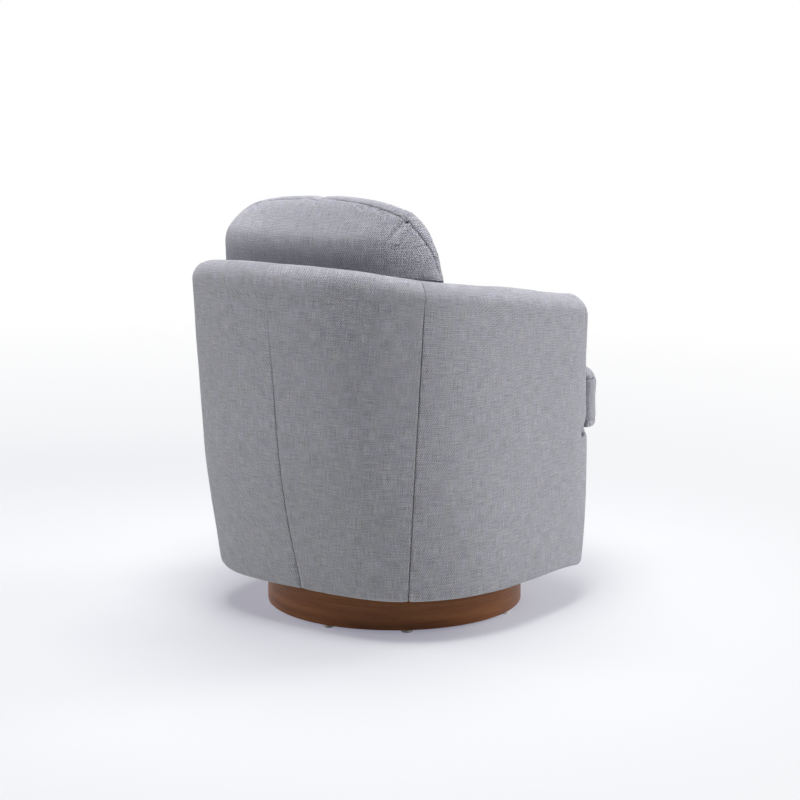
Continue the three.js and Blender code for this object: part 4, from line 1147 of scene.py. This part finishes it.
def woodMaterial(name, light, dark, bend=0.0, scale=1.0, gloss=0.5):
    material, tree, shader = newMaterial(name, **{"Specular IOR Level": gloss})
    place = treeNode(tree, "ShaderNodeTexCoord").outputs["Object"]
    if bend:  # the grain runs round a circle of this radius
        parts = treeNode(tree, "ShaderNodeSeparateXYZ", {"Vector": place})
        angle = calc(tree, "ARCTAN2", parts.outputs[1], parts.outputs[0])
        radius = vectorNode(tree, "LENGTH", vectorNode(tree, "MULTIPLY", place, (1, 1, 0)).outputs[0]).outputs[1]
        place = treeNode(tree, "ShaderNodeCombineXYZ", {
            "X": calc(tree, "MULTIPLY", angle, bend), "Y": parts.outputs[2], "Z": radius}).outputs[0]
    group = treeNode(tree, "ShaderNodeGroup", {"Vector": place, "Light": light, "Dark": dark, "Scale": scale},
                     node_tree=woodGrain)
    surfaced(tree, shader, group.outputs["Color"], group.outputs["Roughness"], group.outputs["Height"], 0.0005, 0.15)
    return material


walnut = woodMaterial("walnut_stain", (0.34, 0.135, 0.055, 1), (0.18, 0.067, 0.03, 1), 0.254, gloss=0.15)
plywood = woodMaterial("plywood", (0.62, 0.46, 0.27, 1), (0.45, 0.31, 0.16, 1), scale=0.6)


def plainMaterial(name, colour, roughness, metallic=0.0, grain=300, amount=0.1):
    material, tree, shader = newMaterial(name, Metallic=metallic)
    place = treeNode(tree, "ShaderNodeTexCoord").outputs["Object"]
    patch = spots(tree, place, grain, 3.0)
    darker = tuple(c * (1 - 3 * amount) for c in colour[:3]) + (1,)
    surfaced(tree, shader, mixColour(tree, patch, darker, colour),
             calc(tree, "MULTIPLY_ADD", patch, amount, roughness), patch, 0.0002, 0.2)
    return material


steel = plainMaterial("zinc_steel", (0.55, 0.55, 0.56, 1), 0.32, 1.0)
nylon = plainMaterial("white_nylon", (0.92, 0.92, 0.9, 1), 0.4, 0.0, 500, 0.04)
print("materials made")


# Plinth ring, by its tree: a rounded board section run round a circle
plinth = {"diameter": 508, "bottom": 5.3, "top": 78, "wall": 22, "round": 2.0, "sides": 160}


def ringTree():
    tree, given, out = newTree("plinthRing", "GeometryNodeTree", [
        ("Geometry", "Geometry", None), ("Radius", "Float", 0.25), ("Wall", "Float", 0.02), ("Height", "Float", 0.07),
        ("Bottom", "Float", 0.0), ("Edge round", "Float", 0.002), ("Sides", "Int", 64),
        ("Material", "Material", None)], [("Geometry", "Geometry")])
    circle = treeNode(tree, "GeometryNodeCurvePrimitiveCircle", {
        "Resolution": given["Sides"], "Radius": calc(tree, "MULTIPLY_ADD", given["Wall"], -0.5, given["Radius"])})
    section = treeNode(tree, "GeometryNodeCurvePrimitiveQuadrilateral", {
        "Width": given["Wall"], "Height": given["Height"]})
    rounded = treeNode(tree, "GeometryNodeFilletCurve", {
        "Curve": section.outputs[0], "Radius": given["Edge round"], "Count": 4}, mode="POLY")
    body = treeNode(tree, "GeometryNodeCurveToMesh", {
        "Curve": circle.outputs[0], "Profile Curve": rounded.outputs[0]})
    half = calc(tree, "MULTIPLY_ADD", given["Height"], 0.5, given["Bottom"])
    lift = treeNode(tree, "ShaderNodeCombineXYZ", {"Z": half})
    placed = treeNode(tree, "GeometryNodeTransform", {"Geometry": body.outputs[0], "Translation": lift.outputs[0]})
    return finished(tree, given, out, placed)


def finished(tree, given, out, shape):  # every tree ends with its material
    last = treeNode(tree, "GeometryNodeSetMaterial", {"Geometry": shape.outputs[0], "Material": given["Material"]})
    setInputs(tree, out, {0: last.outputs[0]})
    return tree


plinthPiece = grown("plinth_band", ringTree(), {
    "Radius": plinth["diameter"] / 2 * mm, "Wall": plinth["wall"] * mm,
    "Height": (plinth["top"] - plinth["bottom"]) * mm, "Bottom": plinth["bottom"] * mm,
    "Edge round": plinth["round"] * mm, "Sides": plinth["sides"], "Material": walnut})


# Glides and staples: one small shape repeated on points
glides = {"radius": 11, "height": 5, "shares": [0.014, 0.117, 0.274, 0.39, 0.514, 0.625, 0.76, 0.88]}
staple = {"length": 11, "width": 1.3, "height": 0.7, "count": 64, "ring": 0.975, "skew": 0.15, "sunk": 0.5}


def lathed(name, profile, sides=24):
    angles = np.linspace(0, 2 * math.pi, sides, endpoint=False)
    rings = [np.column_stack([r * np.cos(angles), r * np.sin(angles), np.full(sides, z)]) for r, z in profile[1:-1]]
    points, faces = domed([0, 0, profile[0][1]], rings, [0, 0, profile[-1][1]])
    return turnedOut(makeMesh(name, points, faces))


def repeatTree(name):
    tree, given, out = newTree(name, "GeometryNodeTree", [
        ("Geometry", "Geometry", None), ("Shape", "Object", None), ("Material", "Material", None)],
        [("Geometry", "Geometry")])
    shape = treeNode(tree, "GeometryNodeObjectInfo", {"Object": given["Shape"]})
    turn = treeNode(tree, "GeometryNodeInputNamedAttribute", {"Name": "turn"}, data_type="FLOAT_VECTOR")
    copies = treeNode(tree, "GeometryNodeInstanceOnPoints", {
        "Points": given["Geometry"], "Instance": shape.outputs["Geometry"], "Rotation": turn.outputs[0]})
    real = treeNode(tree, "GeometryNodeRealizeInstances", {"Geometry": copies.outputs[0]})
    return finished(tree, given, out, real)


def repeated(name, shape, points, turns, material, smoothFaces=True):
    base = makeMesh(name, points, [])
    attribute = base.data.attributes.new("turn", "FLOAT_VECTOR", "POINT")
    attribute.data.foreach_set("vector", np.column_stack([0 * turns, 0 * turns, turns]).astype(np.float32).ravel())
    piece = grown(name, repeatTree(name), {"Shape": shape, "Material": material}, base)
    bpy.data.objects.remove(shape)
    piece.data.polygons.foreach_set("use_smooth", np.full(len(piece.data.polygons), smoothFaces))
    return piece


glideCircle = plinth["diameter"] / 2 - glides["radius"]
glideTurns = 2 * math.pi * np.array(glides["shares"])
glidePoints = np.column_stack([-glideCircle * np.sin(glideTurns), glideCircle * np.cos(glideTurns), 0 * glideTurns])
r, h = glides["radius"], glides["height"]
glideShape = lathed("glideShape", [(0, 0), (r - 2.2, 0), (r - 0.9, 0.35), (r - 0.2, 1.1), (r, 2.0), (r, h - 0.4),
                                   (r - 0.4, h), (0, h)])
glidePiece = repeated("nail_glides", glideShape, glidePoints, glideTurns, nylon)

dustPiece = dustCover()
edge, edgeTurns = dustOutline(staple["count"])
centre = edge.mean(axis=0)
edge = centre + (edge - centre) * staple["ring"]
onward = np.roll(edge, -1, 0) - np.roll(edge, 1, 0)
around = np.arctan2(onward[:, 1], onward[:, 0]) + staple["skew"] * np.sin(edgeTurns * 7)
x, y, z = staple["length"] / 2, staple["width"] / 2, staple["height"]
stapleShape = makeMesh("stapleShape", [(sx * x, sy * y, sz) for sz in (0, -z) for sx, sy in
                                       ((-1, -1), (1, -1), (1, 1), (-1, 1))],
                       [(0, 1, 2, 3), (7, 6, 5, 4), (0, 4, 5, 1), (1, 5, 6, 2), (2, 6, 7, 3), (3, 7, 4, 0)],
                       smoothFaces=False)
turnedOut(stapleShape)
staplePoints = np.column_stack([edge, np.full(len(edge), dust["top"] - dust["thickness"] - staple["sunk"])])
staplePiece = repeated("dust_cloth_staples", stapleShape, staplePoints, around, steel, False)
print("base and underside made")


# Finishes of the CAD pieces that stay
finishes = {"plywood": plywood, "steel": steel, "nylon": nylon, "walnut": walnut, "felt": deckCloth,
            "linen": linen, "black_cloth": dustCloth}
slots = {row["node"]: row["material_slot"] for row in frame["record"]["subparts"]}
for name, node in frame["nodes"].items():
    node.data.materials.clear()
    node.data.materials.append(finishes[slots[name]])


def dressed(piece, body, slot, *nodes):
    piece.data.materials.clear()
    piece.data.materials.append(finishes[slot])
    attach(piece, body)
    if nodes:
        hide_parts(*nodes)
    return piece


for piece, nodes, fill in covers:
    dressed(piece, "chair", "linen", *nodes)
dressed(seatPiece, "seat_cushion", "linen", "seat_cushion")
dressed(pillowPiece, "back_pillow", "linen", "back_pillow")
dressed(deckPiece, "chair", "felt", "deck_pad")
dressed(dustPiece, "chair", "black_cloth", "dust_cover")
dustEdge = dustOutline()[0] * mm
dressed(plinthPiece, "base", "walnut", "plinth_ring")
dressed(glidePiece, "base", "nylon", *[f"glide_{i}" for i in range(1, 9)])
dressed(staplePiece, "chair", "steel")
print("pieces ride on their bodies")


# Floor, lights and camera
studio = {
    # paintedFloorFill is painted light: an even bluish glow mixed into the floor for camera and glossy rays, lifting
    # its shadows and tinting them blue
    "floor": (0.825, 0.84, 0.8, 1), "paintedFloorFill": (0.76, 0.765, 0.95, 1), "paintedFillShare": 0.34,
    "far": (0.915, 0.92, 0.94, 1), "fadeFrom": 0.7, "fadeTo": 1.9, "whiteAt": 4.0, "middle": (0.5, 0.35, 0),
    "backdrop": 0.36, "size": 6000,
    "lamps": {  # place, target, diameter, watts
        "overhead_front": ((0.3, -0.4, 2.9), (0, 0, 0.4), 1.8, 42),
        "overhead_back": ((-0.5, 1.0, 2.9), (0, 0, 0.4), 1.2, 51),
        "right_side": ((-2.9, -1.6, 1.3), (0, 0, 0.45), 1.6, 28),
        "right_front": ((-1.8, -3.0, 1.5), (0, 0, 0.45), 1.6, 69),
        "left_side": ((3.0, 1.4, 1.3), (0, 0, 0.45), 1.6, 45),
    },
    "cameraPlace": (-2.439, 3.292, 1.146), "cameraDown": 10.26, "cameraTurn": (0.593, -0.805), "lens": 94.5,
}


def floorPiece():
    size = studio["size"]
    floor = makeMesh("studio_floor", [(-size, -size, 0), (size, -size, 0), (size, size, 0), (-size, size, 0)],
                     [(0, 1, 2, 3)], smoothFaces=False)
    material, tree, shader = newMaterial("studio_floor", **{"Roughness": 0.9, "Base Color": studio["floor"]})
    place = treeNode(tree, "ShaderNodeTexCoord").outputs["Object"]
    far = vectorNode(tree, "DISTANCE", place, studio["middle"]).outputs[1]
    whiter = mapRange(tree, far, studio["fadeTo"], studio["whiteAt"])
    fade = mapRange(tree, far, studio["fadeFrom"], studio["fadeTo"], curve="SMOOTHSTEP")
    light = treeNode(tree, "ShaderNodeLightPath")
    seen = calc(tree, "MAXIMUM", light.outputs["Is Camera Ray"], light.outputs["Is Glossy Ray"])
    # painted light: for camera and glossy rays a share of the floor glows evenly bluish, lifting its shadows and
    # tinting them blue
    paintedFloorFill = treeNode(tree, "ShaderNodeEmission", {"Color": studio["paintedFloorFill"]})
    white = treeNode(tree, "ShaderNodeEmission", {"Color": mixColour(tree, whiter, studio["far"], (1, 1, 1, 1))})
    near = treeNode(tree, "ShaderNodeMixShader", {0: calc(tree, "MULTIPLY", studio["paintedFillShare"], seen),
                                                  1: shader.outputs[0], 2: paintedFloorFill.outputs[0]})
    mix = treeNode(tree, "ShaderNodeMixShader", {0: calc(tree, "MULTIPLY", fade, seen),
                                                 1: near.outputs[0], 2: white.outputs[0]})
    setInputs(tree, tree.nodes["Material Output"], {0: mix.outputs[0]})
    floor.data.materials.append(material)


def worldLight():
    world = bpy.data.worlds.new("studio")
    scene.world = world
    world.use_nodes = True
    tree = world.node_tree
    place = treeNode(tree, "ShaderNodeTexCoord").outputs["Generated"]
    side = Vector((*studio["cameraTurn"], 0)).normalized()
    dot = vectorNode(tree, "DOT_PRODUCT", place, tuple(side)).outputs[1]
    share = calc(tree, "POWER", calc(tree, "MAXIMUM", dot, 0), 2)
    level = calc(tree, "MULTIPLY", share, studio["backdrop"])
    light = treeNode(tree, "ShaderNodeLightPath")
    seen = calc(tree, "MAXIMUM", light.outputs["Is Camera Ray"], light.outputs["Is Transmission Ray"])
    seen = calc(tree, "MAXIMUM", seen, light.outputs["Is Glossy Ray"])
    strength = treeNode(tree, "ShaderNodeMix", {0: seen, 2: level, 3: 1.0}, data_type="FLOAT")
    setInputs(tree, tree.nodes["Background"], {"Strength": strength.outputs[0], "Color": (1, 1, 1, 1)})


def aimed(name, data, place, direction):
    thing = bpy.data.objects.new(name, data)
    thing.location = place
    thing.rotation_mode = "QUATERNION"
    thing.rotation_quaternion = direction.to_track_quat("-Z", "Y")
    scene.collection.objects.link(thing)
    return thing


def areaLight(name, place, target, size, power):
    light = bpy.data.lights.new(name, "AREA")
    light.shape = "DISK"
    light.size = size
    light.energy = power
    aimed(name, light, place, Vector(target) - Vector(place))


floorPiece()
worldLight()
for name, values in studio["lamps"].items():
    areaLight(name, *values)

cameraData = bpy.data.cameras.new("photo_view")
cameraData.lens, cameraData.sensor_width = studio["lens"], 36
down = math.radians(studio["cameraDown"])
aim = Vector((*[part * math.cos(down) for part in studio["cameraTurn"]], -math.sin(down)))
scene.camera = aimed("photo_view", cameraData, studio["cameraPlace"], aim)
print("studio set")
